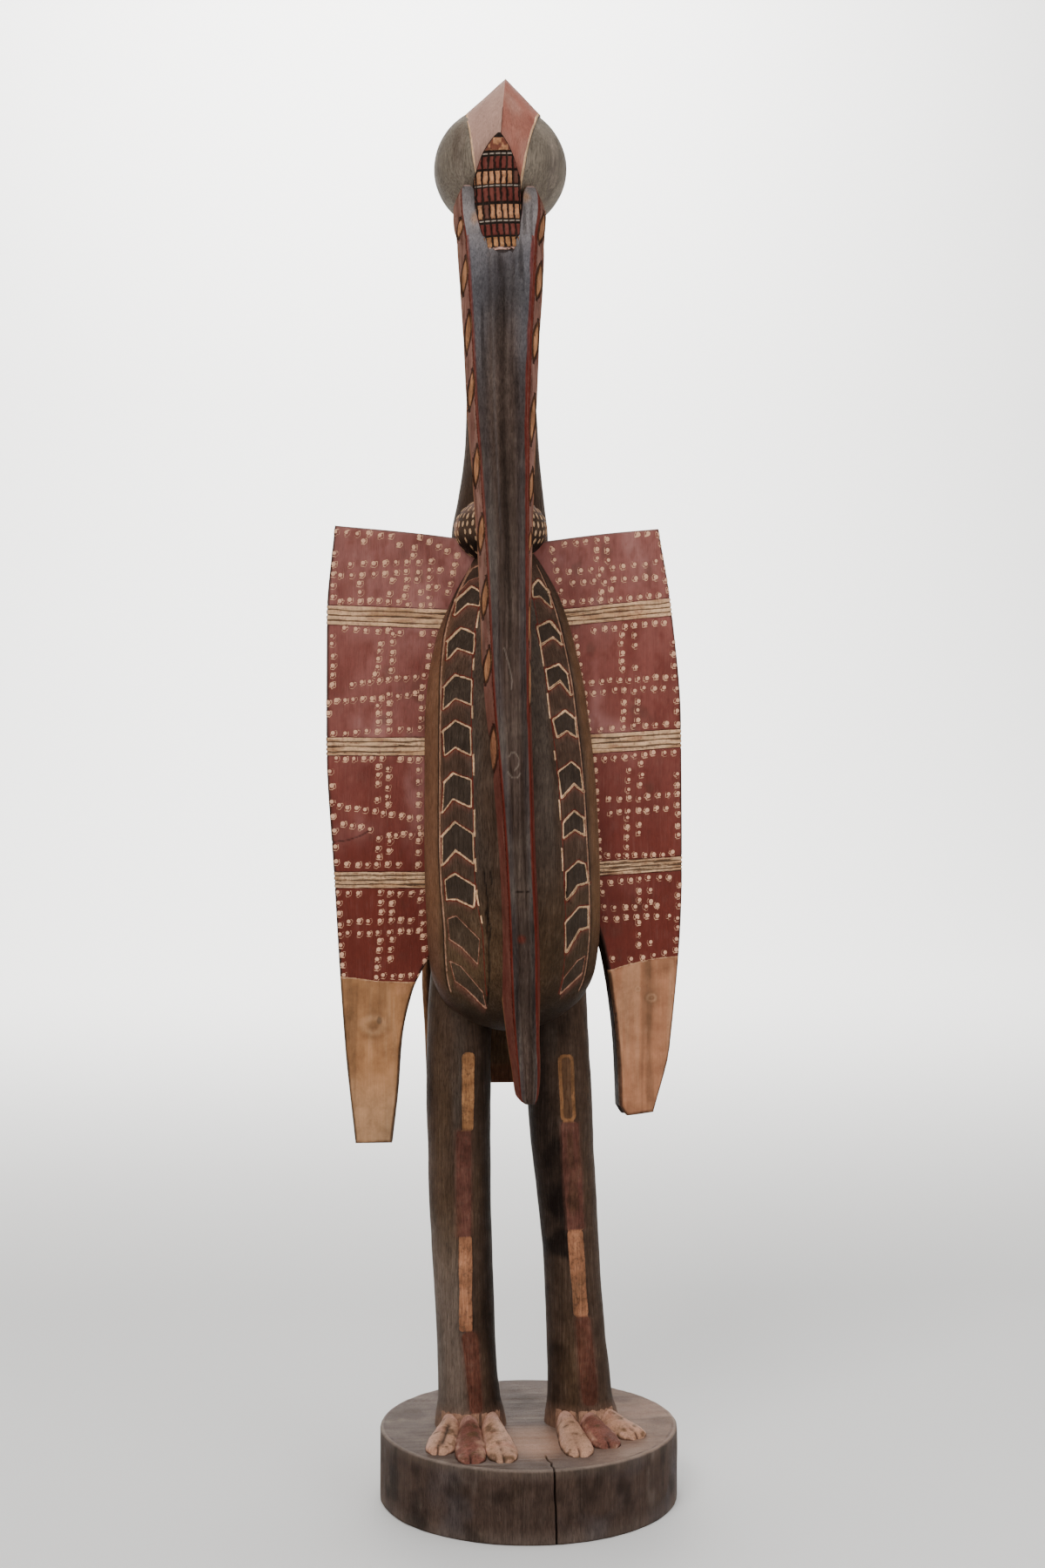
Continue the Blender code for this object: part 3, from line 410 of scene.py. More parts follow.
@dataclass
class Skin:
    """A closed surface of rings, with the relief and paint of every point on it.

    Attributes:
        name: What it is.
        points: Places, as rings by sides by x, y, z; rings run anticlockwise seen from the last one.
        finish: Index of its material on the piece.
        height: Relief of each point along its normal.
        colour: Linear colour of each point.
        rough: Roughness of each point.
        marks: Two distances, in millimetres, for each of three layers: light paint, red line and cut.
        ink: Linear colour of the light paint.
        dots: Way to the nearest dot's centre, outward and up, its length, and a random number for that dot.
    """

    name: str
    points: np.ndarray
    finish: int = 0
    height: np.ndarray = field(init=False)
    colour: np.ndarray = field(init=False)
    rough: np.ndarray = field(init=False)
    marks: np.ndarray = field(init=False)
    ink: np.ndarray = field(init=False)
    dots: np.ndarray = field(init=False)

    def __post_init__(self) -> None:
        """Starts plain: stained, of even gloss, with no marks, ink or dots."""
        shape = self.points.shape[:2]
        self.height = np.zeros(shape)
        self.colour = np.broadcast_to(Pigment.STAIN.rgb, shape + (3,)).copy()
        self.rough = np.full(shape, 0.60)
        self.marks = np.full(shape + (6,), -FAR)
        self.ink = np.broadcast_to(Pigment.CREAM.rgb, shape + (3,)).copy()
        self.dots = np.full(shape + (4,), FAR)

    @property
    def x(self) -> np.ndarray:
        """How far across each point lies."""
        return self.points[..., 0]

    @property
    def y(self) -> np.ndarray:
        """How far back each point lies."""
        return self.points[..., 1]

    @property
    def z(self) -> np.ndarray:
        """How high each point lies."""
        return self.points[..., 2]

    def normals(self) -> np.ndarray:
        """Outward unit normals.

        Returns:
            The cross product of the step to the next point round the ring and the step to the next ring.
        """
        around = np.roll(self.points, -1, axis=1) - np.roll(self.points, 1, axis=1)
        along = np.empty_like(self.points)
        along[1:-1] = self.points[2:] - self.points[:-2]
        along[0] = self.points[1] - self.points[0]
        along[-1] = self.points[-1] - self.points[-2]
        normal = np.cross(around, along)
        length = np.linalg.norm(normal, axis=-1, keepdims=True)
        return normal / np.maximum(length, 1e-12)

    def coat(self, pigment: Pigment, mask: np.ndarray | float) -> None:
        """Lays a pigment over the paint.

        Args:
            pigment: The colour to lay.
            mask: How much of it covers each point, from 0 to 1: the new colour is the old one times (1 - mask)
                plus the pigment times mask.
        """
        cover = np.clip(np.broadcast_to(mask, self.z.shape), 0.0, 1.0)[..., None]
        self.colour += (pigment.rgb - self.colour) * cover

    def mark(self, layer: Layer, past_start: np.ndarray, before_end: np.ndarray | float = 0.001,
             tint: Pigment | None = None) -> None:
        """Adds a crisp mark, whose edges the material draws between the points of the mesh.

        Args:
            layer: Light paint, red line or cut.
            past_start: How far each point lies past the mark's first edge, in metres.
            before_end: How far it lies before the mark's second edge. The mark is where both are above 0, and
                the one with the larger of the lesser distances is kept where two marks meet.
            tint: Colour of the light paint near the mark.
        """
        shape = self.z.shape
        first = np.clip(np.broadcast_to(past_start, shape) * 1000, -FAR, 1.0)
        second = np.clip(np.broadcast_to(before_end, shape) * 1000, -FAR, 1.0)
        slot = 2 * layer.value
        kept = np.minimum(self.marks[..., slot], self.marks[..., slot + 1])
        nearer = np.minimum(first, second) > kept
        self.marks[nearer, slot], self.marks[nearer, slot + 1] = first[nearer], second[nearer]
        if tint is not None:
            self.ink[nearer] = tint.rgb

    def shade(self, factor: np.ndarray) -> None:
        """Makes the paint darker or lighter.

        Args:
            factor: What each point's colour is multiplied by.
        """
        self.colour *= factor[..., None]

    def weather(self, seed: int, amount: float = 0.16) -> None:
        """Mottles and streaks the paint as hand-rubbed pigment on old wood is.

        Args:
            seed: Picks the random fields.
            amount: Strength. The colour is multiplied by 1 + amount * (blotches 25 mm wide, plus streaks 3 mm wide
                and 120 mm long that follow the grain, plus specks 3 mm wide).
        """
        blotch = noise(self.points, (38, 38, 26), seed)
        streak = noise(self.points, (300, 300, 8), seed + 20)
        speck = noise(self.points, (340, 340, 300), seed + 40, 2)
        self.shade(1 + amount * (1.3 * blotch + 0.55 * streak + 0.6 * speck))

    def finished(self) -> np.ndarray:
        """Places with the relief applied: each point moved along its normal by its height."""
        return self.points + self.normals() * self.height[..., None]


def oval_rings(levels: Sequence[Level], heights: np.ndarray, turn: np.ndarray) -> np.ndarray:
    """Rings of ovals through a table of levels.

    Args:
        levels: The table.
        heights: Height of each ring.
        turn: Angles round the ring: x is the middle plus half width times cosine, y the middle plus half depth
            times sine.

    Returns:
        Places, as rings by sides by x, y, z.
    """
    at = read_levels(levels, heights)
    middle, half_depth = (at["front"] + at["back"]) / 2, (at["back"] - at["front"]) / 2
    rings = np.empty((len(heights), len(turn), 3))
    rings[..., 0] = at["x"][:, None] + at["half_width"][:, None] * np.cos(turn)
    rings[..., 1] = middle[:, None] + half_depth[:, None] * np.sin(turn)
    rings[..., 2] = heights[:, None]
    return rings


def ellipsoid_rings(centre: Vector, radii: Vector, count: int, sides: int) -> np.ndarray:
    """Rings of an ellipsoid from its lowest to its highest point.

    Args:
        centre: Its middle.
        radii: Its half sizes.
        count: Number of rings.
        sides: Points in a ring.

    Returns:
        Places at latitude a and longitude b: (cos a cos b, cos a sin b, sin a) times the radii, plus the middle.
    """
    latitude = np.linspace(-math.pi / 2 + 0.03, math.pi / 2 - 0.03, count)[:, None]
    turn = 2 * math.pi * np.arange(sides) / sides
    rings = np.empty((count, sides, 3))
    rings[..., 0] = centre.x + radii.x * np.cos(latitude) * np.cos(turn)
    rings[..., 1] = centre.y + radii.y * np.cos(latitude) * np.sin(turn)
    rings[..., 2] = centre.z + radii.z * np.sin(latitude) * np.ones_like(turn)
    return rings


def dense_angles(front: int, back: int, margin: float) -> np.ndarray:
    """Angles round a form, dense over its front half and sparse over its back.

    Args:
        front: Points over the front half and the margin on each side of it.
        back: Points over the rest.
        margin: How far the dense part runs past the widest place, in radians.

    Returns:
        Angles that rise by one turn in all; the front is at one and a half pi.
    """
    start, end = math.pi - margin, 2 * math.pi + margin
    return np.concatenate((np.linspace(start, end, front, endpoint=False),
                           np.linspace(end, start + 2 * math.pi, back, endpoint=False)))


# Materials


@dataclass(frozen=True)
class Finish:
    """How a painted or stained surface catches light.

    Attributes:
        name: Name of the material.
        grain: Contrast of the fine grain in the paint.
        relief: Depth of the fine relief, in metres.
        gloss: Taken off the roughness of the paint.
        chalk: Share of pale dust on the high spots of the grain.
        shine: Strength of its reflection.
        dotted: Whether it carries rows of dots.
    """

    name: str
    grain: float
    relief: float
    gloss: float
    chalk: float
    shine: float
    dotted: bool = False


FINISHES = {
    "stained": Finish("stained_wood", 0.26, 0.00040, 0.06, 0.10, 0.05),
    "earth": Finish("earth_paint", 0.14, 0.00022, 0.04, 0.10, 0.05),
    "dotted": Finish("dotted_paint", 0.06, 0.00012, 0.05, 0.10, 0.10, True),
    "beak": Finish("beak_paint", 0.22, 0.00030, 0.10, 0.08, 0.0),
    "base": Finish("base_wood", 0.12, 0.00040, 0.02, 0.10, 0.05),
}


class NodeWriter:
    """Adds and links nodes in one tree."""

    def __init__(self, tree: bpy.types.NodeTree) -> None:
        """Takes the tree.

        Args:
            tree: Tree that the nodes go into.
        """
        self.tree = tree

    def add(self, kind: str, **inputs: object) -> bpy.types.Node:
        """Adds a node.

        Args:
            kind: Its type, without the ShaderNode at the front.
            inputs: Values or sockets for its inputs, by name with _ for a space; names of its own settings start
                with set_.

        Returns:
            The node.
        """
        node = self.tree.nodes.new("ShaderNode" + kind)
        for key, value in inputs.items():
            if key.startswith("set_"):
                setattr(node, key[4:], value)
        for key, value in inputs.items():
            if key.startswith("set_"):
                continue
            socket = node.inputs[int(key[1:])] if key[0] == "i" and key[1:].isdigit() else node.inputs[
                key.replace("_", " ")]
            if isinstance(value, bpy.types.NodeSocket):
                self.tree.links.new(value, socket)
            else:
                socket.default_value = value
        return node

    def math(self, operation: str, *values: object) -> bpy.types.NodeSocket:
        """Adds a sum.

        Args:
            operation: What it does.
            values: Its numbers or sockets.

        Returns:
            Its result.
        """
        inputs = {f"i{k}": value for k, value in enumerate(values)}
        return self.add("Math", set_operation=operation, **inputs).outputs[0]

    def spread(self, value: bpy.types.NodeSocket, low: float, high: float, start: float,
               end: float) -> bpy.types.NodeSocket:
        """Maps a range of values onto another, and holds them there.

        Args:
            value: What to map.
            low: Value that becomes start.
            high: Value that becomes end.
            start: Result at low.
            end: Result at high.

        Returns:
            The mapped value.
        """
        node = self.add("MapRange", Value=value, From_Min=low, From_Max=high, To_Min=start, To_Max=end)
        return node.outputs[0]


def grain_group() -> bpy.types.NodeTree:
    """Shared effect: fine wood grain along Z.

    Returns:
        A node group with outputs Streaks, fine lines along the grain; Pores, short dark pits; and Cloud, soft
        patches; each from 0 to 1, read from Object coordinates.
    """
    group = bpy.data.node_groups.new("fine_grain", "ShaderNodeTree")
    for name in ("Streaks", "Pores", "Cloud"):
        group.interface.new_socket(name, in_out="OUTPUT", socket_type="NodeSocketFloat")
    write = NodeWriter(group)
    where = write.add("TexCoord").outputs["Object"]
    bend = write.add("TexNoise", Vector=where, Scale=9.0, Detail=2.0).outputs["Fac"]
    shift = write.add("CombineXYZ", X=write.math("MULTIPLY", bend, 0.012), Y=0.0, Z=0.0).outputs[0]
    bent = write.add("VectorMath", set_operation="ADD", i0=where, i1=shift).outputs[0]
    long = write.add("Mapping", Vector=bent, Scale=(620.0, 620.0, 14.0)).outputs[0]
    streaks = write.add("TexNoise", Vector=long, Scale=1.0, Detail=5.0, Roughness=0.62).outputs["Fac"]
    short = write.add("Mapping", Vector=bent, Scale=(1300.0, 1300.0, 120.0)).outputs[0]
    pores = write.add("TexNoise", Vector=short, Scale=1.0, Detail=2.0, Roughness=0.5).outputs["Fac"]
    cloud = write.add("TexNoise", Vector=where, Scale=55.0, Detail=4.0, Roughness=0.6).outputs["Fac"]
    out = group.nodes.new("NodeGroupOutput")
    for name, socket in (("Streaks", streaks), ("Pores", write.spread(pores, 0.36, 0.46, 1.0, 0.0)),
                         ("Cloud", cloud)):
        group.links.new(socket, out.inputs[name])
    return group


def mark_group() -> bpy.types.NodeTree:
    """Shared effect: crisp marks from a pair of distances.

    Returns:
        A node group with inputs First and Second, distances in millimetres, Ragged, how far the edge wanders, and
        Worn, how much of the mark is rubbed away; and output Mask. The mask is the smooth step over 0.3 mm of the
        lesser distance plus a random wander, less the worn patches.
    """
    group = bpy.data.node_groups.new("crisp_mark", "ShaderNodeTree")
    for name in ("First", "Second", "Ragged", "Worn"):
        group.interface.new_socket(name, in_out="INPUT", socket_type="NodeSocketFloat")
    group.interface.new_socket("Mask", in_out="OUTPUT", socket_type="NodeSocketFloat")
    write = NodeWriter(group)
    given = group.nodes.new("NodeGroupInput").outputs
    where = write.add("TexCoord").outputs["Object"]
    wander = write.add("TexNoise", Vector=where, Scale=420.0, Detail=3.0, Roughness=0.6).outputs["Fac"]
    least = write.math("MINIMUM", given["First"], given["Second"])
    moved = write.math("ADD", least, write.math("MULTIPLY", write.math("SUBTRACT", wander, 0.5), given["Ragged"]))
    mask = write.spread(moved, -0.15, 0.15, 0.0, 1.0)
    rubbed = write.add("TexNoise", Vector=where, Scale=230.0, Detail=4.0, Roughness=0.7).outputs["Fac"]
    left = write.math("SUBTRACT", 1.0, write.math("MULTIPLY", write.spread(rubbed, 0.50, 0.66, 0.0, 1.0),
                                                  given["Worn"]))
    out = group.nodes.new("NodeGroupOutput")
    group.links.new(write.math("MULTIPLY", mask, left), out.inputs["Mask"])
    return group


def dot_group() -> bpy.types.NodeTree:
    """Shared effect: painted ring dots.

    Returns:
        A node group with outputs Disc, the dot; Pit, the red ring pressed in it; and a third, the dark line round
        it: painted shadow of the raised dot. It reads the dots attribute: the way to the nearest centre, its length
        and a random number. A dot's radius is 1.8 mm plus 0.6 mm times that number, and the ring is 0.8 mm from a
        middle a little off its own.
    """
    group = bpy.data.node_groups.new("ring_dots", "ShaderNodeTree")
    for name in ("Disc", "Pit", "ShadeRim"):
        group.interface.new_socket(name, in_out="OUTPUT", socket_type="NodeSocketFloat")
    write = NodeWriter(group)
    given = write.add("Attribute", set_attribute_name="dots")
    parts = write.add("SeparateXYZ", Vector=given.outputs["Vector"]).outputs
    pick = given.outputs["Alpha"]
    where = write.add("TexCoord").outputs["Object"]
    wander = write.add("TexNoise", Vector=where, Scale=330.0, Detail=2.0).outputs["Fac"]
    lump = write.math("MULTIPLY", write.math("SUBTRACT", wander, 0.5), 0.8)
    flat = write.add("CombineXYZ", X=parts["X"], Y=parts["Y"], Z=0.0).outputs[0]
    reach = write.add("VectorMath", set_operation="LENGTH", i0=flat).outputs["Value"]
    gap = write.math("ADD", write.math("MAXIMUM", reach, write.math("SUBTRACT", parts["Z"], 0.7)), lump)
    radius = write.math("ADD", write.math("MULTIPLY", pick, 0.60), 1.80)
    inside = write.math("SUBTRACT", radius, gap)
    disc = write.spread(inside, -0.2, 0.2, 0.0, 1.0)
    aside = write.add("CombineXYZ", X=write.math("MULTIPLY", write.math("SUBTRACT", pick, 0.4), 0.4), Y=0.12,
                      Z=0.0).outputs[0]
    shifted = write.add("VectorMath", set_operation="ADD", i0=flat, i1=aside).outputs[0]
    inner = write.add("VectorMath", set_operation="LENGTH", i0=shifted).outputs["Value"]
    off_ring = write.math("ABSOLUTE", write.math("SUBTRACT", write.math("ADD", inner, lump), 0.80))
    pit = write.math("MULTIPLY", write.spread(off_ring, 0.05, 0.30, 1.0, 0.0), disc)
    # Painted shadow: a dark line just outside the edge of each raised dot.
    rim = write.math("MULTIPLY", write.spread(inside, -0.7, -0.2, 0.0, 1.0), write.math("SUBTRACT", 1.0, disc))
    out = group.nodes.new("NodeGroupOutput")
    for name, socket in (("Disc", disc), ("Pit", pit), ("ShadeRim", rim)):
        group.links.new(socket, out.inputs[name])
    return group


@dataclass(frozen=True)
class Effects:
    """The shared effects, built once.

    Attributes:
        grain: Fine wood grain.
        mark: Crisp marks.
        dots: Painted ring dots.
    """

    grain: bpy.types.NodeTree
    mark: bpy.types.NodeTree
    dots: bpy.types.NodeTree


def finish_material(finish: Finish, effects: Effects) -> bpy.types.Material:
    """Material of one finish: painted attributes, worked over with fine grain.

    Args:
        finish: How it catches light.
        effects: The shared effects.

    Returns:
        The material. Its ground is the paint times 1 plus grain for streaks, pores and cloud. Red lines, light
        paint, dots with a painted shadow round each, and cuts are laid over it in turn, and pale dust where cloud
        and streaks are both high. Its relief is the grain plus the thickness of the light paint, less the cuts.
    """
    material = bpy.data.materials.new(finish.name)
    material.use_nodes = True
    tree = material.node_tree
    write = NodeWriter(tree)
    shader = tree.nodes["Principled BSDF"]

    def group(kind: bpy.types.NodeTree, **values: object) -> bpy.types.Node:
        """Adds a shared effect.

        Args:
            kind: Its node group.
            values: Values or sockets for its inputs, by name.

        Returns:
            The group's node.
        """
        node = tree.nodes.new("ShaderNodeGroup")
        node.node_tree = kind
        for key, value in values.items():
            if isinstance(value, bpy.types.NodeSocket):
                tree.links.new(value, node.inputs[key])
            else:
                node.inputs[key].default_value = value
        return node

    def lay(under: bpy.types.NodeSocket, over: object, mask: bpy.types.NodeSocket) -> bpy.types.NodeSocket:
        """Lays one colour over another.

        Args:
            under: Colour below.
            over: Colour above, a value or a socket.
            mask: How much of the upper colour shows, from 0 to 1.

        Returns:
            The mixed colour's socket.
        """
        return write.add("Mix", set_data_type="RGBA", i0=mask, i6=under, i7=over).outputs[2]

    paint = write.add("Attribute", set_attribute_name="paint").outputs["Color"]
    rough = write.add("Attribute", set_attribute_name="rough").outputs["Fac"]
    ink = write.add("Attribute", set_attribute_name="ink").outputs["Color"]
    lines = write.add("Attribute", set_attribute_name="lines")
    cuts = write.add("SeparateXYZ", Vector=write.add("Attribute", set_attribute_name="cuts").outputs["Vector"]).outputs
    pairs = write.add("SeparateXYZ", Vector=lines.outputs["Vector"]).outputs
    texture = group(effects.grain)
    streaks, pores, cloud = (texture.outputs[name] for name in ("Streaks", "Pores", "Cloud"))
    contrast = finish.grain
    by_streak = write.spread(streaks, 0.3, 0.7, 1 - contrast, 1 + contrast)
    by_pore = write.spread(pores, 0.0, 1.0, 1.0, 1 - 0.9 * contrast)
    by_cloud = write.spread(cloud, 0.3, 0.7, 1 - 0.5 * contrast, 1 + 0.5 * contrast)
    factor = write.math("MULTIPLY", write.math("MULTIPLY", by_streak, by_pore), by_cloud)

    light = group(effects.mark, First=pairs["X"], Second=pairs["Y"], Ragged=1.1, Worn=0.55).outputs["Mask"]
    red = group(effects.mark, First=pairs["Z"], Second=lines.outputs["Alpha"], Ragged=1.2, Worn=0.35).outputs["Mask"]
    cut = group(effects.mark, First=cuts["X"], Second=cuts["Y"], Ragged=0.7, Worn=0.10).outputs["Mask"]
    shown = lay(paint, (*Pigment.DARK_RED.rgb, 1.0), write.math("MULTIPLY", red, 0.85))
    toned = write.add("VectorMath", set_operation="SCALE", i0=ink, Scale=write.spread(
        cloud, 0.3, 0.7, 0.72, 1.15)).outputs[0]
    shown = lay(shown, toned, light)
    thick = write.math("SUBTRACT", write.math("MULTIPLY", light, 0.5), write.math("MULTIPLY", cut, 1.6))
    if finish.dotted:
        dots = group(effects.dots).outputs
        # Painted shadow round each raised dot.
        shown = lay(shown, (*Pigment.OXBLOOD.rgb, 1.0), write.math("MULTIPLY", dots["ShadeRim"], 0.55))
        shown = lay(shown, (*Pigment.DOT.rgb, 1.0), write.math("MULTIPLY", dots["Disc"], write.spread(
            cloud, 0.62, 0.75, 0.98, 0.80)))
        shown = lay(shown, (*Pigment.WING_RED.rgb, 1.0), write.math("MULTIPLY", dots["Pit"], 0.30))
        thick = write.math("ADD", thick, write.math("SUBTRACT", write.math("MULTIPLY", dots["Disc"], 0.6),
                                                    write.math("MULTIPLY", dots["Pit"], 0.8)))
    shown = lay(shown, (*Pigment.SOOT_AND_SHADE.rgb, 1.0), write.math("MULTIPLY", cut, 0.82))
    grained = write.add("VectorMath", set_operation="SCALE", i0=shown, Scale=factor).outputs[0]
    dusty = write.math("MULTIPLY", write.spread(cloud, 0.45, 0.75, 0.0, finish.chalk),
                       write.spread(streaks, 0.45, 0.7, 0.0, 1.0))
    tree.links.new(lay(grained, (*Pigment.DUST.rgb, 1.0), dusty), shader.inputs["Base Color"])

    wear = write.spread(streaks, 0.3, 0.7, 0.05, -0.05)
    matt = write.math("SUBTRACT", write.math("ADD", rough, wear), finish.gloss)
    tree.links.new(write.math("ADD", matt, write.math("MULTIPLY", light, 0.10)), shader.inputs["Roughness"])
    shader.inputs["Specular IOR Level"].default_value = finish.shine
    relief = write.math("SUBTRACT", write.math("MULTIPLY", streaks, 1.4), pores)
    bump = write.add("Bump", Height=write.math("ADD", relief, thick), Strength=1.0, Distance=finish.relief)
    tree.links.new(bump.outputs[0], shader.inputs["Normal"])
    return material


# Forms of the body


class Field(NamedTuple):
    """One arrow-shaped field of a belly band: share of the half width and height of its corners, from its outer
    side to its inner, along the top and along the foot."""

    top: tuple
    foot: tuple
    thin: bool = False


FIELDS = {
    -1: (
        Field(((0.960, 0.974), (0.925, 0.982), (0.815, 0.984)), ((0.952, 0.960), (0.880, 0.969), (0.70, 0.972)), True),
        Field(((0.939, 0.947), (0.770, 0.961), (0.578, 0.955)), ((0.884, 0.932), (0.745, 0.944), (0.534, 0.941))),
        Field(((0.862, 0.903), (0.717, 0.917), (0.519, 0.911)), ((0.834, 0.885), (0.726, 0.897), (0.502, 0.891))),
        Field(((0.822, 0.856), (0.704, 0.868), (0.501, 0.863)), ((0.822, 0.834), (0.687, 0.845), (0.504, 0.839))),
        Field(((0.818, 0.810), (0.682, 0.821), (0.516, 0.814)), ((0.806, 0.786), (0.685, 0.795), (0.514, 0.787))),
        Field(((0.813, 0.757), (0.710, 0.767), (0.522, 0.761)), ((0.832, 0.727), (0.722, 0.742), (0.526, 0.734))),
        Field(((0.833, 0.702), (0.695, 0.717), (0.510, 0.706)), ((0.835, 0.673), (0.697, 0.690), (0.505, 0.677))),
        Field(((0.811, 0.657), (0.701, 0.664), (0.501, 0.653)), ((0.799, 0.638), (0.690, 0.639), (0.516, 0.632))),
        Field(((0.798, 0.617), (0.705, 0.621), (0.459, 0.598)), ((0.786, 0.597), (0.649, 0.589), (0.484, 0.573)), True),
        Field(((0.790, 0.573), (0.679, 0.569), (0.447, 0.542)), ((0.760, 0.553), (0.640, 0.545), (0.44, 0.526)), True),
    ),
    1: (
        Field(((0.771, 0.955), (0.634, 0.968), (0.468, 0.961)), ((0.728, 0.940), (0.547, 0.952), (0.419, 0.950))),
        Field(((0.766, 0.911), (0.631, 0.924), (0.419, 0.918)), ((0.761, 0.901), (0.645, 0.909), (0.440, 0.901))),
        Field(((0.751, 0.870), (0.646, 0.879), (0.463, 0.874)), ((0.756, 0.849), (0.637, 0.864), (0.470, 0.855))),
        Field(((0.775, 0.823), (0.657, 0.831), (0.488, 0.822)), ((0.771, 0.805), (0.653, 0.812), (0.522, 0.806))),
        Field(((0.773, 0.771), (0.666, 0.779), (0.494, 0.769)), ((0.787, 0.749), (0.680, 0.758), (0.518, 0.744))),
        Field(((0.779, 0.720), (0.660, 0.728), (0.526, 0.717)), ((0.781, 0.704), (0.661, 0.710), (0.519, 0.702))),
        Field(((0.778, 0.673), (0.679, 0.676), (0.537, 0.666)), ((0.807, 0.655), (0.672, 0.653), (0.532, 0.638))),
        Field(((0.804, 0.628), (0.691, 0.629), (0.521, 0.614)), ((0.808, 0.608), (0.695, 0.607), (0.544, 0.585))),
        Field(((0.800, 0.577), (0.701, 0.573), (0.550, 0.556)), ((0.790, 0.560), (0.690, 0.552), (0.56, 0.540)), True),
    ),
}
BAND_EDGES = {
    -1: ((0.53, 0.60, 0.65, 0.72, 0.83, 0.90, 0.95, 0.99), (0.84, 0.825, 0.845, 0.855, 0.845, 0.895, 0.955, 0.975),
         (0.40, 0.42, 0.49, 0.50, 0.50, 0.51, 0.56, 0.80)),
    1: ((0.53, 0.60, 0.65, 0.72, 0.83, 0.90, 0.95, 0.99), (0.82, 0.825, 0.815, 0.80, 0.790, 0.79, 0.77, 0.755),
        (0.53, 0.53, 0.51, 0.50, 0.46, 0.44, 0.41, 0.40)),
}
INNER_DASHES = {
    -1: ((0.935, 0.917), (0.886, 0.873), (0.837, 0.824), (0.788, 0.766), (0.732, 0.704), (0.682, 0.668),
         (0.650, 0.633), (0.624, 0.615)),
    1: ((0.899, 0.877), (0.850, 0.824), (0.791, 0.781), (0.741, 0.720), (0.692, 0.668)),
}


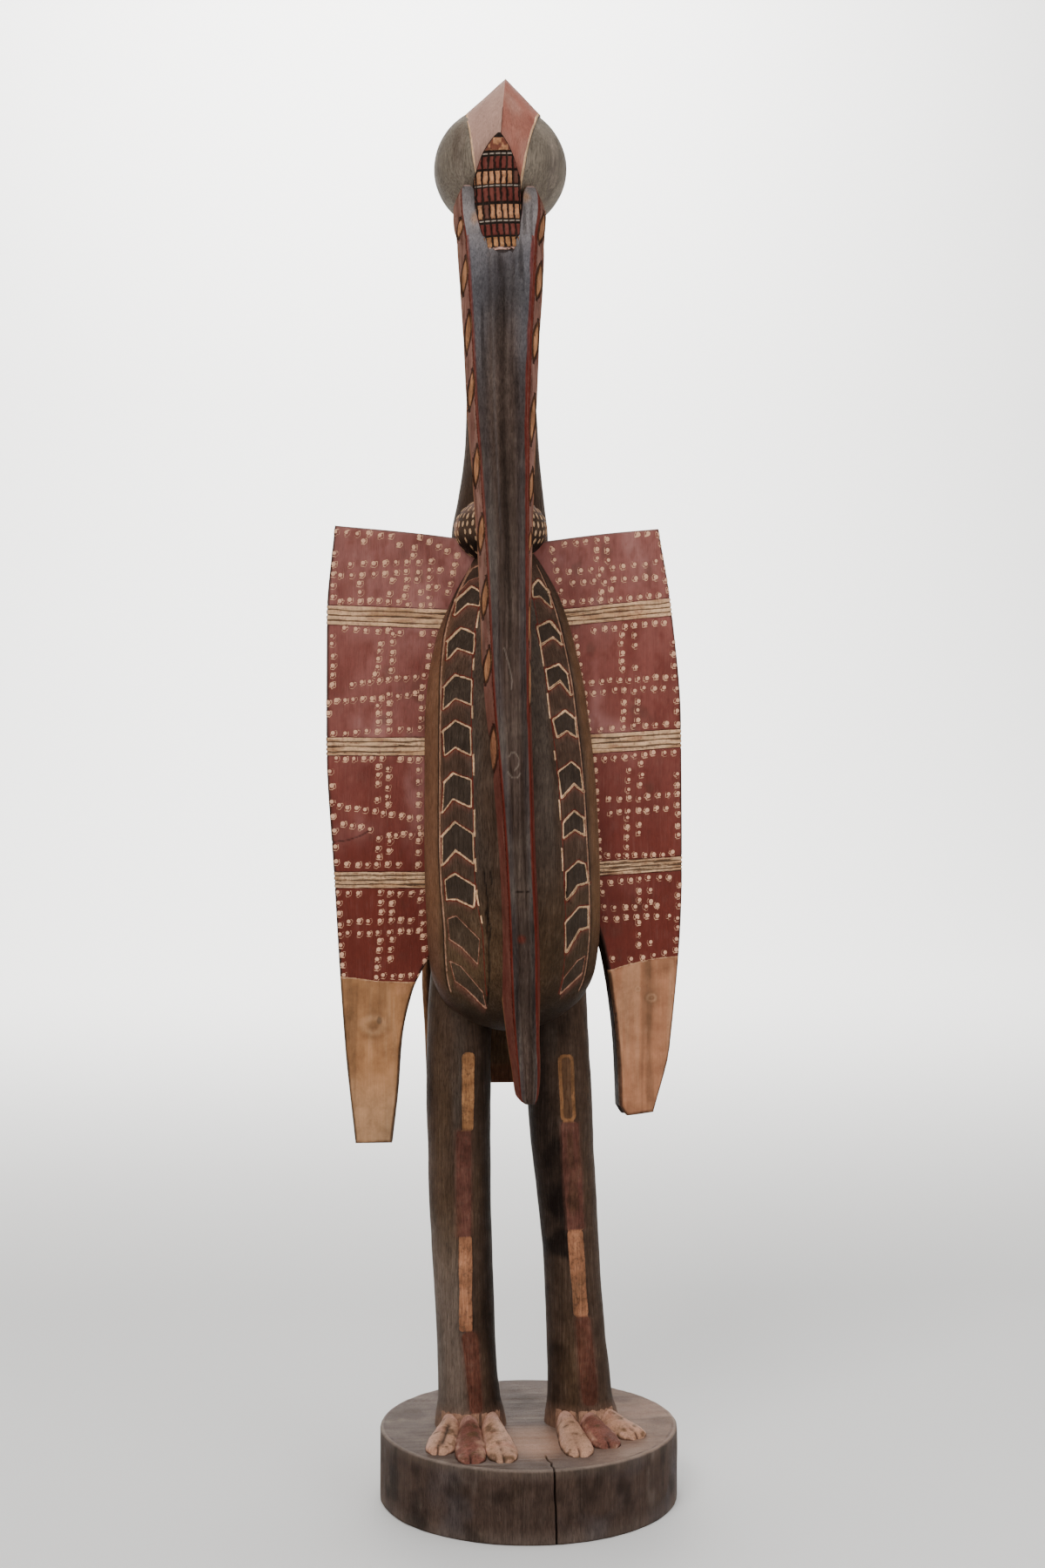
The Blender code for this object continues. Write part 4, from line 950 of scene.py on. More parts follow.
class Belly:
    """The bird's body: a long oval with a band of arrow-shaped fields down each flank."""

    def build(self) -> Skin:
        """Makes and paints it.

        Returns:
            The body's skin.
        """
        heights = np.concatenate((np.linspace(0.4962, 0.535, 26, endpoint=False),
                                  np.linspace(0.535, 1.0199, 244)))
        turn = dense_angles(206, 40, 0.12)
        skin = Skin("belly", oval_rings(BODY, heights, turn))
        at = read_levels(BODY, heights)
        self.share = np.cos(turn)[None, :] * np.ones((len(heights), 1))
        self.reach = at["half_width"][:, None]
        self.front = ramp(0.15, -0.1, np.sin(turn))[None, :] * np.ones((len(heights), 1))
        self.stain(skin)
        for side in (-1, 1):
            self.flank(skin, side)
        self.cracks(skin)
        skin.weather(31, 0.17)
        return skin

    def stain(self, skin: Skin) -> None:
        """Lays the ground colours: brown stain, blue-grey beside the beak, golden brown and painted shade below.

        Args:
            skin: The body.
        """
        skin.coat(Pigment.STAIN, 1.0)
        skin.coat(Pigment.STAIN_WARM, 0.85 * ramp(0.70, 0.56, skin.z))
        left = band(self.share, -0.42, 0.13, 0.12) * ramp(1.0, 0.9, skin.z) * ramp(0.62, 0.7, skin.z)
        skin.coat(Pigment.STAIN_GREY, 0.50 * left * (0.5 + 0.9 * noise(skin.points, (60, 60, 14), 3)))
        skin.coat(Pigment.MAUVE_BROWN, 0.35 * self.front * ramp(-0.84, -0.92, self.share) * ramp(1.0, 0.9, skin.z))
        skin.coat(Pigment.STAIN_GREY, 0.5 * band(self.share, 0.3, 0.12, 0.1) * self.front * ramp(0.6, 0.75, skin.z))
        # Painted shade: the front darkens towards the underside, most on the bird's left, over the legs.
        skin.coat(Pigment.SOOT_AND_SHADE, 0.80 * self.front * ramp(0.57, 0.505, skin.z))
        skin.coat(Pigment.SOOT_AND_SHADE, 0.45 * self.front * ramp(0.15, 0.45, self.share) * ramp(0.66, 0.58, skin.z))
        skin.coat(Pigment.EARTH_BLACK, 0.45 * ramp(0.2, 0.7, noise(skin.points, (22, 22, 12), 5)))
        skin.coat(Pigment.EARTH_BLACK, 0.45 * self.front * ramp(0.84, 0.9, self.share) * ramp(0.7, 0.85, skin.z))
        skin.coat(Pigment.TAN, (
            0.25 * self.front * ramp(0.80, 0.90, np.abs(self.share)) * ramp(0.55, 0.65, skin.z)
            * ramp(0.98, 0.86, skin.z)))
        skin.coat(Pigment.EARTH_BLACK, 0.35 * (1 - self.front))

    def flank(self, skin: Skin, side: int) -> None:
        """Carves and paints the band of one flank.

        Args:
            skin: The body.
            side: -1 for the bird's right flank, 1 for its left.
        """
        knots, outer, inner = BAND_EDGES[side]
        s = side * self.share
        low, high = smooth_curve(knots, inner, skin.z), smooth_curve(knots, outer, skin.z)
        from_inner, to_outer = (s - low) * self.reach, (high - s) * self.reach
        out = s * self.reach
        off_span = 0.02 * (1 - ramp(0.530, 0.540, skin.z) * ramp(0.995, 0.985, skin.z) * self.front)
        inside = ramp(-0.0012, 0.0012, np.minimum(from_inner, to_outer) - off_span)
        skin.coat(Pigment.MAUVE_BROWN, 0.08 * inside * ramp(0.60, 0.72, skin.z))
        skin.height -= 0.0007 * inside
        wide = noise(skin.points, (130, 130, 130), 60 + side)
        for row in FIELDS[side]:
            self.outline(skin, row, out, side, wide)
        thin = 0.00045 + 0.0002 * wide
        skin.mark(Layer.LIGHT, thin + to_outer - off_span, thin - to_outer - off_span,
                  Pigment.PINK_TAN)
        skin.mark(Layer.CUT, to_outer + 0.0017 - off_span, -0.0009 - to_outer - off_span)
        skin.mark(Layer.RED, from_inner + 0.0010 - off_span, 0.0002 - from_inner - off_span)
        for top, foot in INNER_DASHES[side]:
            ends = np.minimum(top - skin.z, skin.z - foot)
            skin.mark(
                Layer.LIGHT, from_inner + 0.0024 - off_span, np.minimum(-0.0008 - from_inner, ends), Pigment.CREAM)

    def outline(self, skin: Skin, row: Field, out: np.ndarray, side: int, wide: np.ndarray) -> None:
        """Carves one field and draws the lines round it.

        Args:
            skin: The body.
            row: The field.
            out: How far outward each point lies, in metres.
            side: -1 for the bird's right flank, 1 for its left.
            wide: Random field that makes the lines swell and thin.
        """
        corners = {name: [(share * float(smooth_curve([level.z for level in BODY],
                                                      [level.half_width for level in BODY], np.array(z))), z)
                          for share, z in getattr(row, name)] for name in ("top", "foot")}
        top, foot = corners["top"], corners["foot"]
        inner, outer = (top[2], foot[2]), (top[0], foot[0])
        near = (skin.z < top[1][1] + 0.012) & (skin.z > min(foot[0][1], foot[2][1]) - 0.012)
        near &= (out > inner[1][0] - 0.015) & (out < outer[1][0] + 0.02) & (self.front > 0)
        u, z = out[near], skin.z[near]
        gaps = np.stack([line_distance(u, z, run) for run in (top, foot, inner, outer)])
        nearest = gaps.argmin(0)
        xs = [point[0] for point in top[::-1]]
        under_top = z < np.interp(u, xs, [point[1] for point in top[::-1]])
        over_foot = z > np.interp(u, [point[0] for point in foot[::-1]], [point[1] for point in foot[::-1]])
        past_inner = u > np.interp(z, (inner[1][1], inner[0][1]), (inner[1][0], inner[0][0]))
        before_outer = u < np.interp(z, (outer[1][1], outer[0][1]), (outer[1][0], outer[0][0]))
        depth = np.where(under_top & over_foot & past_inner & before_outer, 1, -1) * gaps.min(0)
        width = np.array([0.0015, 0.0014, 0.0014, 0.0003])[nearest] * (1.0 + 0.75 * wide[near])
        if side > 0:
            width *= np.array([1.15, 1.35, 1.15, 1.6])[nearest]
        if row.thin:
            width = np.where(nearest < 2, 0.55, 0.25) * width
        full = np.full(skin.z.shape, -1.0)
        full[near] = depth
        wall = np.zeros(skin.z.shape)
        wall[near] = width
        skin.mark(Layer.LIGHT, 0.0002 - full, full + wall, Pigment.PINK_TAN if row.thin else Pigment.CREAM)
        skin.mark(Layer.RED, 0.0002 - wall - full, full + wall + (0.0005 if row.thin else 0.0012))
        low_share = np.zeros(skin.z.shape)
        low_share[near] = np.where(nearest == 1, 1.0, 0.0)
        if side > 0 and not row.thin:
            skin.mark(Layer.CUT, 0.00005 - 0.45 * wall - full - 0.01 * (1 - low_share), full + 0.45 * wall + 0.0004)
        skin.coat(Pigment.FIELD, 0.85 * ramp(-0.0008, 0.0006, full) * (0.6 if row.thin else 1.0))
        skin.height -= 0.0009 * ramp(-0.0006, 0.0010, full)
        below = np.zeros(skin.z.shape)
        below[near] = (~over_foot) * ramp(0.009, 0.0, gaps[1]) * past_inner * before_outer
        skin.coat(Pigment.MAUVE_BROWN, 0.65 * below)

    def cracks(self, skin: Skin) -> None:
        """Opens the small drying cracks and the gouge beside the beak.

        Args:
            skin: The body.
        """
        across = self.share * self.reach
        runs = (((0.046, 0.654), (0.050, 0.646), (0.048, 0.640), (0.055, 0.634)),
                ((-0.030, 0.668), (-0.028, 0.656)),
                ((-0.036, 0.628), (-0.030, 0.612), (-0.032, 0.596)),
                ((-0.036, 0.668), (-0.033, 0.640), (-0.0335, 0.610), (-0.031, 0.575), (-0.0305, 0.530)))
        for k, run in enumerate(runs):
            gap = line_distance(across, skin.z, run) + 0.0004 * noise(skin.points, (300, 300, 300), 90 + k, 1)
            mask = ramp(0.0012, 0.0004, gap) * self.front
            skin.coat(Pigment.SOOT_AND_SHADE, 0.9 * mask)
            skin.height -= 0.0012 * mask


class Stripe(NamedTuple):
    """A painted stripe on a leg: where its top and its foot lie, and how wide each is."""

    top_z: float
    top_x: float
    top_width: float
    foot_z: float
    foot_x: float
    foot_width: float
    pigment: Pigment


LEG_STRIPES = {
    -1: (
        Stripe(0.4725, -0.0655, 0.0140, 0.3890, -0.0662, 0.0125, Pigment.TAN),
        Stripe(0.3905, -0.0707, 0.0160, 0.2785, -0.0705, 0.0155, Pigment.MAUVE_BROWN),
        Stripe(0.2800, -0.0690, 0.0140, 0.1802, -0.0685, 0.0135, Pigment.TAN_ROSE),
        Stripe(0.1800, -0.0645, 0.0185, 0.0950, -0.0575, 0.0125, Pigment.LEG_RED),
    ),
    1: (
        Stripe(0.4692, 0.0372, 0.0165, 0.3980, 0.0400, 0.0155, Pigment.TAN),
        Stripe(0.3972, 0.0415, 0.0190, 0.2843, 0.0480, 0.0180, Pigment.MAUVE_BROWN),
        Stripe(0.2838, 0.0468, 0.0160, 0.1940, 0.0532, 0.0160, Pigment.TAN_ROSE),
        Stripe(0.1943, 0.0548, 0.0165, 0.1000, 0.0631, 0.0165, Pigment.LEG_RED),
    ),
}


class Legs:
    """Two tapering legs with painted stripes down their fronts."""

    def build(self) -> list[Skin]:
        """Makes and paints both.

        Returns:
            The two skins.
        """
        return [self.leg(-1, LEG_RIGHT), self.leg(1, LEG_LEFT)]

    def leg(self, side: int, levels: Sequence[Level]) -> Skin:
        """Makes one leg.

        Args:
            side: -1 for the bird's right leg, 1 for its left.
            levels: Its table.

        Returns:
            Its skin.
        """
        heights = np.linspace(0.066, 0.619, 220)
        turn = dense_angles(76, 26, 0.1)
        skin = Skin("leg", oval_rings(levels, heights, turn))
        front = ramp(0.1, -0.2, np.sin(turn))[None, :]
        skin.coat(Pigment.STAIN, 1.0)
        skin.coat(Pigment.STAIN_WARM, 0.45 * ramp(0.0, 0.6, noise(skin.points, (30, 30, 7), 12 + side)))
        skin.coat(Pigment.STAIN_GREY, 0.7 * ramp(0.1, 0.7, noise(skin.points, (40, 40, 8), 15 + side)))
        skin.coat(Pigment.SOOT_AND_SHADE, 0.6 * ramp(0.10, 0.75, noise(skin.points, (34, 34, 18), 19 + side)))
        across = np.cos(turn)[None, :] * np.ones_like(skin.z)
        if side < 0:
            skin.coat(Pigment.DUST, 0.20 * front * ramp(0.2, -0.4, across) * ramp(0.32, 0.22, skin.z))
            # Painted shade: the inner side of the right leg, which faces the other leg, is darkened.
            skin.coat(Pigment.SOOT_AND_SHADE, 0.72 * front * ramp(0.35, 0.85, across + 0.15 * noise(skin.points, (1, 1, 22), 20)))
        else:
            # Painted shade: the inner side of the left leg is darkened, most on its upper part under the body.
            skin.coat(Pigment.EARTH_BLACK, (0.15 + 0.80 * ramp(0.20, 0.32, skin.z)) * front * ramp(0.0, -0.6, across))
            spots = ramp(0.05, 0.35, noise(skin.points, (30, 30, 22), 24, 2)) * ramp(0.45, 0.38, skin.z)
            skin.coat(Pigment.SOOT_AND_SHADE, 0.90 * front * spots * ramp(0.05, -0.2, across) * ramp(0.13, 0.18, skin.z))
        ripple = noise(skin.points, (26, 26, 30), 22 + side, 2)
        skin.height += 0.0009 * ripple
        behind = 0.05 * (1 - front)
        for k, stripe in enumerate(LEG_STRIPES[side]):
            t = np.clip((stripe.top_z - skin.z) / (stripe.top_z - stripe.foot_z), 0.0, 1.0)
            middle = stripe.top_x + (stripe.foot_x - stripe.top_x) * t
            half = (stripe.top_width + (stripe.foot_width - stripe.top_width) * t) / 2
            half = half * (1 + 0.10 * noise(np.stack([skin.z * 0 + k, skin.z * 0, skin.z], -1), (1, 1, 40), 130 + side))
            corner = 0.8 * half if k in (0, 3) else 0.0030 + 0 * half
            aside = np.abs(skin.x - middle) - half + corner
            past = np.maximum(skin.z - stripe.top_z, stripe.foot_z - skin.z) + corner
            gap = np.hypot(np.maximum(aside, 0), np.maximum(past, 0)) - corner + np.minimum(
                np.maximum(aside, past), 0)
            if side > 0 and k == 0:
                skin.coat(Pigment.TAN, 0.28 * ramp(0.001, -0.001, gap) * front)
                skin.mark(Layer.LIGHT, -gap - behind, gap + 0.0036, stripe.pigment)
            else:
                skin.mark(Layer.LIGHT, -gap - behind, tint=stripe.pigment)
            halo = ramp(0.0040, 0.0, gap) * front
            skin.coat(Pigment.MAUVE_BROWN if k in (1, 3) else Pigment.EARTH_BLACK, 0.30 * halo)
            skin.height += 0.0003 * ramp(0.0006, -0.0006, gap) * front
        worn = 0.78 + 0.5 * noise(skin.points, (60, 60, 14), 144 + side)
        skin.ink *= worn[..., None]
        rubbed = 0.45 * ramp(0.05, 0.5, noise(skin.points, (90, 90, 22), 148 + side))[..., None]
        skin.ink += (Pigment.STAIN_WARM.rgb - skin.ink) * rubbed
        ankle = skin.z - 0.0022 * noise(skin.points, (360, 360, 1), 146 + side, 2)
        for plan in TOES:
            if plan.ankle[0] * side > 0:
                aside = np.abs(skin.x - plan.ankle[0]) - 0.010
                skin.mark(Layer.LIGHT, np.minimum(0.0945 - ankle, -aside) - behind, tint=Pigment.TOE)
        skin.coat(Pigment.TOE, 0.45 * ramp(0.105, 0.078, skin.z))
        skin.weather(41 + side, 0.17)
        return skin


class Tail:
    """The broad flat tail that hangs behind the legs."""

    def build(self) -> Skin:
        """Makes and paints it.

        Returns:
            Its skin: rings of a rectangle with rounded corners, whose corner points are set in by 3 mm.
        """
        heights = np.linspace(0.4218, 0.8195, 130)
        at = read_levels(TAIL, heights)
        turn = 2 * math.pi * (np.arange(72) + 0.5) / 72
        cos, sin = np.cos(turn), np.sin(turn)
        square = 0.16
        rings = np.empty((len(heights), len(turn), 3))
        rings[..., 0] = at["x"][:, None] + at["half_width"][:, None] * np.sign(cos) * np.abs(cos) ** square
        middle, half = (at["front"] + at["back"]) / 2, (at["back"] - at["front"]) / 2
        rings[..., 1] = middle[:, None] + half[:, None] * np.sign(sin) * np.abs(sin) ** 0.45
        rings[..., 2] = heights[:, None]
        skin = Skin("tail", rings)
        skin.coat(Pigment.STAIN, 1.0)
        skin.coat(Pigment.EARTH_BLACK, 0.4 + 0.4 * noise(skin.points, (20, 20, 10), 51))
        skin.coat(Pigment.STAIN_WARM, 0.75 * ramp(0.62, 0.42, skin.z))
        skin.coat(Pigment.DARK_RED, 0.22 * ramp(0.450, 0.435, skin.z + 0.004 * noise(skin.points, (60, 60, 1), 52)))
        edge = ramp(0.93, 0.97, np.abs(skin.x - at["x"][:, None]) / at["half_width"][:, None])
        skin.coat(Pigment.TAN, 0.55 * edge * ramp(0.9, 0.5, np.abs(noise(skin.points, (60, 60, 24), 53))))
        skin.height += 0.0006 * noise(skin.points, (60, 60, 10), 54)
        skin.weather(55, 0.2)
        return skin


class ToePlan(NamedTuple):
    """A toe: where it leaves the ankle, where its tip lies, and its colour."""

    ankle: tuple
    tip: tuple
    pigment: Pigment


TOES = (
    ToePlan((-0.083, -0.018), (-0.101, -0.100), Pigment.TOE),
    ToePlan((-0.065, -0.026), (-0.069, -0.132), Pigment.MAUVE_BROWN),
    ToePlan((-0.042, -0.022), (-0.035, -0.131), Pigment.TOE),
    ToePlan((0.037, -0.024), (0.043, -0.120), Pigment.TOE),
    ToePlan((0.060, -0.022), (0.076, -0.096), Pigment.MAUVE_BROWN),
    ToePlan((0.078, -0.012), (0.109, -0.067), Pigment.PINK_TAN),
)
BASE_HEIGHT = 0.075
BASE_RADIUS = 0.1575
TOE_LIGHT = 1.30


class Toes:
    """Six fat wedge-shaped toes on the base."""

    WIDTH = 0.031
    ANKLE = 0.020
    TIP = 0.006
    SINK = 0.004

    def build(self) -> list[Skin]:
        """Makes and paints them.

        Returns:
            A skin for each toe.
        """
        return [self.toe(k, plan) for k, plan in enumerate(TOES)]

    def toe(self, number: int, plan: ToePlan) -> Skin:
        """Makes one toe.

        Args:
            number: Its place in the row, which picks its random fields.
            plan: Where it lies, and its colour.

        Returns:
            Its skin: rings across the toe, each the upper half of a rounded square over a flat foot, sunk in the
            base, whose width and height follow smooth curves from the ankle to the tip.
        """
        ankle, tip = Vector((*plan.ankle, BASE_HEIGHT)), Vector((*plan.tip, BASE_HEIGHT))
        along = np.array((tip - ankle).normalized())
        right = np.array([-along[1], along[0], 0.0])
        share = 1 - (1 - np.linspace(0.0, 1.0, 46)) ** 1.5
        half = smooth_curve((0, 0.3, 0.7, 0.9, 1.0), (0.62, 0.86, 1.06, 0.92, 0.42), share) * self.WIDTH / 2
        rise = self.TIP + smooth_curve((0, 0.35, 0.75, 0.93, 1.0), (1.0, 0.66, 0.26, 0.02, -0.45), share) * (
            self.ANKLE - self.TIP)
        arc = np.linspace(0.0, math.pi, 42)
        out = np.sign(np.cos(arc)) * np.abs(np.cos(arc)) ** 0.62
        up = np.abs(np.sin(arc)) ** 0.62
        up *= 1 - 0.24 * np.abs(out) ** 1.5
        out, up = np.append(out, (-0.5, 0.5)), np.append(up, (0.0, 0.0))
        centre = np.array(ankle) + along * (tip - ankle).length * share[:, None]
        rings = centre[:, None, :] + right * (half[:, None] * out)[..., None]
        rings[..., 2] += rise[:, None] * up - self.SINK * (up <= 1e-9)
        skin = Skin("toe", rings)
        length = share[:, None] * np.ones(len(out))
        across = half[:, None] * out
        skin.coat(plan.pigment, 1.0)
        rubbed = noise(skin.points, (70, 70, 70), 61 + number)
        skin.coat(Pigment.BRICK, 0.40 * ramp(0.1, 0.6, rubbed))
        skin.coat(Pigment.TOE, 0.55 * ramp(0.1, 0.6, -rubbed))
        skin.coat(Pigment.STAIN_WARM, 0.8 * ramp(0.05, 0.45, noise(skin.points, (150, 150, 90), 63 + number)))
        # Painted shade: the lower sides of the toe darken along the crease where it meets the base.
        skin.coat(Pigment.EARTH_BLACK, 0.85 * ramp(0.45, 0.05, up)[None, :] * np.ones_like(length))
        ridge = ramp(0.22, 0.05, np.abs(np.abs(out) - 0.80))[None, :] * ramp(1.0, 0.8, length)
        skin.coat(Pigment.TOE, 0.50 * ridge * ramp(-0.3, 0.3, noise(skin.points, (120, 120, 120), 68 + number)))
        rim = ramp(0.14, 0.02, length - 0.10 + 0.09 * noise(skin.points, (220, 220, 1), 67 + number, 2))
        skin.coat(Pigment.PINK_CREAM, 0.45 * rim * (up > 0.3)[None, :])
        gouge = ramp(0.0016, 0.0004, np.abs(across + 0.001) + 0.0006 * noise(skin.points, (400, 400, 1), 70 + number))
        gouge *= ramp(0.62, 0.75, length) * (up > 0.3)[None, :]
        if number == 0:
            gouge = np.maximum(gouge, ramp(0.0030, 0.0008, np.abs(across - 0.002)) * ramp(0.25, 0.4, length) * ramp(
                0.95, 0.8, length) * (up > 0.3)[None, :])
        skin.shade(np.full_like(length, TOE_LIGHT))
        lip = ramp(0.13, 0.03, np.abs(np.abs(out) - 0.86))[None, :] * ramp(0.25, 0.4, length)
        lip = lip * ramp(-0.1, 0.3, noise(skin.points, (160, 160, 160), 66 + number))
        skin.coat(Pigment.PINK_CREAM, 0.40 * lip)
        skin.coat(Pigment.SOOT_AND_SHADE, 0.85 * gouge)
        skin.height -= 0.0014 * gouge
        skin.height += 0.0011 * noise(skin.points, (110, 110, 110), 74 + number) * (up > 0.02)[None, :]
        skin.weather(80 + number, 0.2)
        return skin


class Base:
    """The round block that the feet stand on, with the drying split in its front."""

    SPLIT_ANGLE = math.atan2(-0.157, 0.0130)

    def build(self) -> Skin:
        """Makes and paints it.

        Returns:
            Its skin: circles that run from the middle of the underside out, up the side, and in over the top.
        """
        spread = np.linspace(-1.0, 1.0, 385)[:-1]
        warp = spread * (0.12 + 0.88 * np.abs(spread) ** 1.6)
        turn = self.SPLIT_ANGLE + math.pi * warp
        r_side = BASE_RADIUS
        edge = 0.0030
        arc = np.linspace(0.0, math.pi / 2, 6)
        radius = np.concatenate(([0.004, 0.05, 0.11, 0.150], [r_side - 0.0012], np.full(34, r_side),
                                 r_side - edge + edge * np.cos(arc), np.linspace(r_side - edge - 0.001, 0.11, 32),
                                 np.linspace(0.108, 0.003, 48)))
        height = np.concatenate((np.zeros(5), np.linspace(0.0012, BASE_HEIGHT - edge - 0.0008, 34),
                                 BASE_HEIGHT - edge + edge * np.sin(arc), np.full(80, BASE_HEIGHT)))
        rings = np.empty((len(radius), len(turn), 3))
        rings[..., 0] = radius[:, None] * np.cos(turn)
        rings[..., 1] = radius[:, None] * np.sin(turn)
        rings[..., 2] = height[:, None]
        skin = Skin("base", rings)
        top = ramp(BASE_HEIGHT - 0.002, BASE_HEIGHT - 0.0002, skin.z)
        self.stain(skin, top)
        self.split(skin, top)
        under = skin.z < 1e-6
        skin.height[under] = 0.0
        skin.coat(Pigment.EARTH_BLACK, 0.6 * under)
        return skin

    def stain(self, skin: Skin, top: np.ndarray) -> None:
        """Lays the greyed top with its grain lines, the dark side and the pale worn rim.

        Args:
            skin: The base.
            top: Mask of its upper face.
        """
        side = 1 - top
        skin.coat(Pigment.BASE_SIDE, 1.0)
        wear = noise(skin.points, (40, 40, 14), 91)
        skin.coat(Pigment.SOOT_AND_SHADE, 0.60 * side * ramp(0.0, 0.6, wear))
        skin.coat(Pigment.STAIN_WARM, 0.35 * side * ramp(0.05, 0.6, noise(skin.points, (35, 35, 14), 92)))
        skin.coat(Pigment.DUST, 0.14 * side * ramp(0.2, 0.7, noise(skin.points, (60, 60, 34), 93)))
        skin.coat(Pigment.DUST, 0.14 * side * ramp(0.02, 0.0, skin.z))
        skin.coat(Pigment.BASE_TOP, top)
        grain = noise(skin.points, (18, 210, 1), 94, 4)
        skin.coat(Pigment.STAIN, 0.45 * top * ramp(0.0, 0.5, grain))
        skin.coat(Pigment.DUST, 0.35 * top * ramp(0.1, 0.6, noise(skin.points, (20, 60, 1), 95)))
        patch = ramp(0.075, 0.02, np.hypot((skin.x - 0.002) * 1.2, skin.y + 0.07))
        skin.coat(Pigment.TOE, 0.80 * top * patch)
        skin.coat(Pigment.TOE, 0.35 * top * ramp(0.02, 0.10, skin.x))
        haze = noise(skin.points, (26, 26, 26), 101)
        skin.coat(Pigment.STAIN, 0.45 * top * ramp(0.0, 0.5, haze) * (1 - patch))
        skin.coat(Pigment.SLATE, 0.30 * side * ramp(0.05, 0.5, noise(skin.points, (22, 22, 22), 102)))
        skin.coat(Pigment.SOOT_AND_SHADE, 0.50 * side * ramp(0.0, 0.45, noise(skin.points, (48, 48, 40), 103)))
        rim = band(np.hypot(skin.x, skin.y), BASE_RADIUS - 0.0018, 0.0016, 0.0014) * ramp(0.06, 0.073, skin.z)
        skin.coat(Pigment.DUST, 0.30 * rim)
        lip = band(np.hypot(skin.x, skin.y), BASE_RADIUS - 0.0050, 0.0010, 0.0012) * top
        skin.coat(Pigment.SOOT_AND_SHADE, 0.45 * lip * ramp(-0.1, 0.4, noise(skin.points, (50, 50, 50), 104)))
        skin.height += side * 0.0009 * noise(skin.points, (60, 60, 16), 97)
        skin.height += top * 0.0006 * grain
        skin.weather(98, 0.2)

    def split(self, skin: Skin, top: np.ndarray) -> None:
        """Opens the split: down the front of the side, and in across the top towards the feet.

        Args:
            skin: The base.
            top: Mask of its upper face.
        """
        side_line = 0.0130 + 0.0025 * (0.5 - skin.z / BASE_HEIGHT) + 0.0012 * noise(
            np.stack([skin.z * 0, skin.z * 0, skin.z], -1), (1, 1, 60), 99)
        on_side = ramp(0.0014, 0.0003, np.abs(skin.x - side_line)) * (skin.y < 0) * (1 - top)
        off_side = 0.05 * (1 - (skin.y < 0) * (1 - top))
        half = 0.0006 + 0.0003 * noise(skin.points, (90, 90, 90), 100)
        skin.mark(Layer.CUT, half + skin.x - side_line - off_side, half + side_line - skin.x)
        path = ((0.0118, -0.158), (0.0122, -0.150), (0.0105, -0.142), (0.0118, -0.134), (0.0085, -0.126),
                (0.0075, -0.112))
        on_top = ramp(0.0012, 0.0003, line_distance(skin.x, skin.y, path)) * top
        mask = np.maximum(on_side, on_top)
        skin.coat(Pigment.SOOT_AND_SHADE, 0.75 * mask)
        skin.height -= 0.0030 * mask


# Neck, head and beak

GOITRE_CENTRE = Vector((-0.030, -0.004, 1.023))
GOITRE_RADII = Vector((0.049, 0.050, 0.036))
HEAD_CENTRE = Vector((-0.0305, -0.004, 1.4050))
HEAD_RADII = Vector((0.0702, 0.0720, 0.0662))
HEAD_TURN = math.radians(-5.0)
CREST_ANGLES = tuple(math.radians(angle) for angle in (-34, -14, 13, 43, 88, 130, 175, 212))
CREST_HALF_WIDTHS = (0.0210, 0.0252, 0.0306, 0.0365, 0.0400, 0.0370, 0.0260, 0.0140)
CREST_RIDGE = (0.0700, 0.0725, 0.0780, 0.0865, 0.0938, 0.0930, 0.0850, 0.0760)
CREST_SHIFT = 0.0030
CREST_LEAN = 0.0030
CREST_STAND = 0.0014
CASQUE_ARCH = 10.0


class Neck:
    """The plain round neck between body and head."""

    def build(self) -> Skin:
        """Makes and paints it.

        Returns:
            Its skin. Below the wings' upper edge its front half is drawn in, so that it passes behind them.
        """
        heights = np.linspace(0.851, 1.389, 160)
        turn = dense_angles(56, 34, 0.1)
        rings = oval_rings(NECK, heights, turn)
        middle = rings[..., :1].mean(axis=1)
        ahead = ramp(0.006, -0.004, rings[..., 1]) * ramp(1.016, 0.995, rings[..., 2])
        rings[..., 0] -= (rings[..., 0] - middle) * 0.42 * ahead
        skin = Skin("neck", rings)
        skin.coat(Pigment.STAIN, 1.0)
        skin.coat(Pigment.STAIN_GREY, 0.5 * ramp(0.0, 0.6, noise(skin.points, (40, 40, 9), 101)))
        skin.coat(Pigment.EARTH_BLACK, 0.6 * ramp(0.1, 0.7, noise(skin.points, (26, 26, 10), 102)))
        skin.height += 0.0007 * noise(skin.points, (50, 50, 12), 103)
        skin.weather(104, 0.2)
        return skin


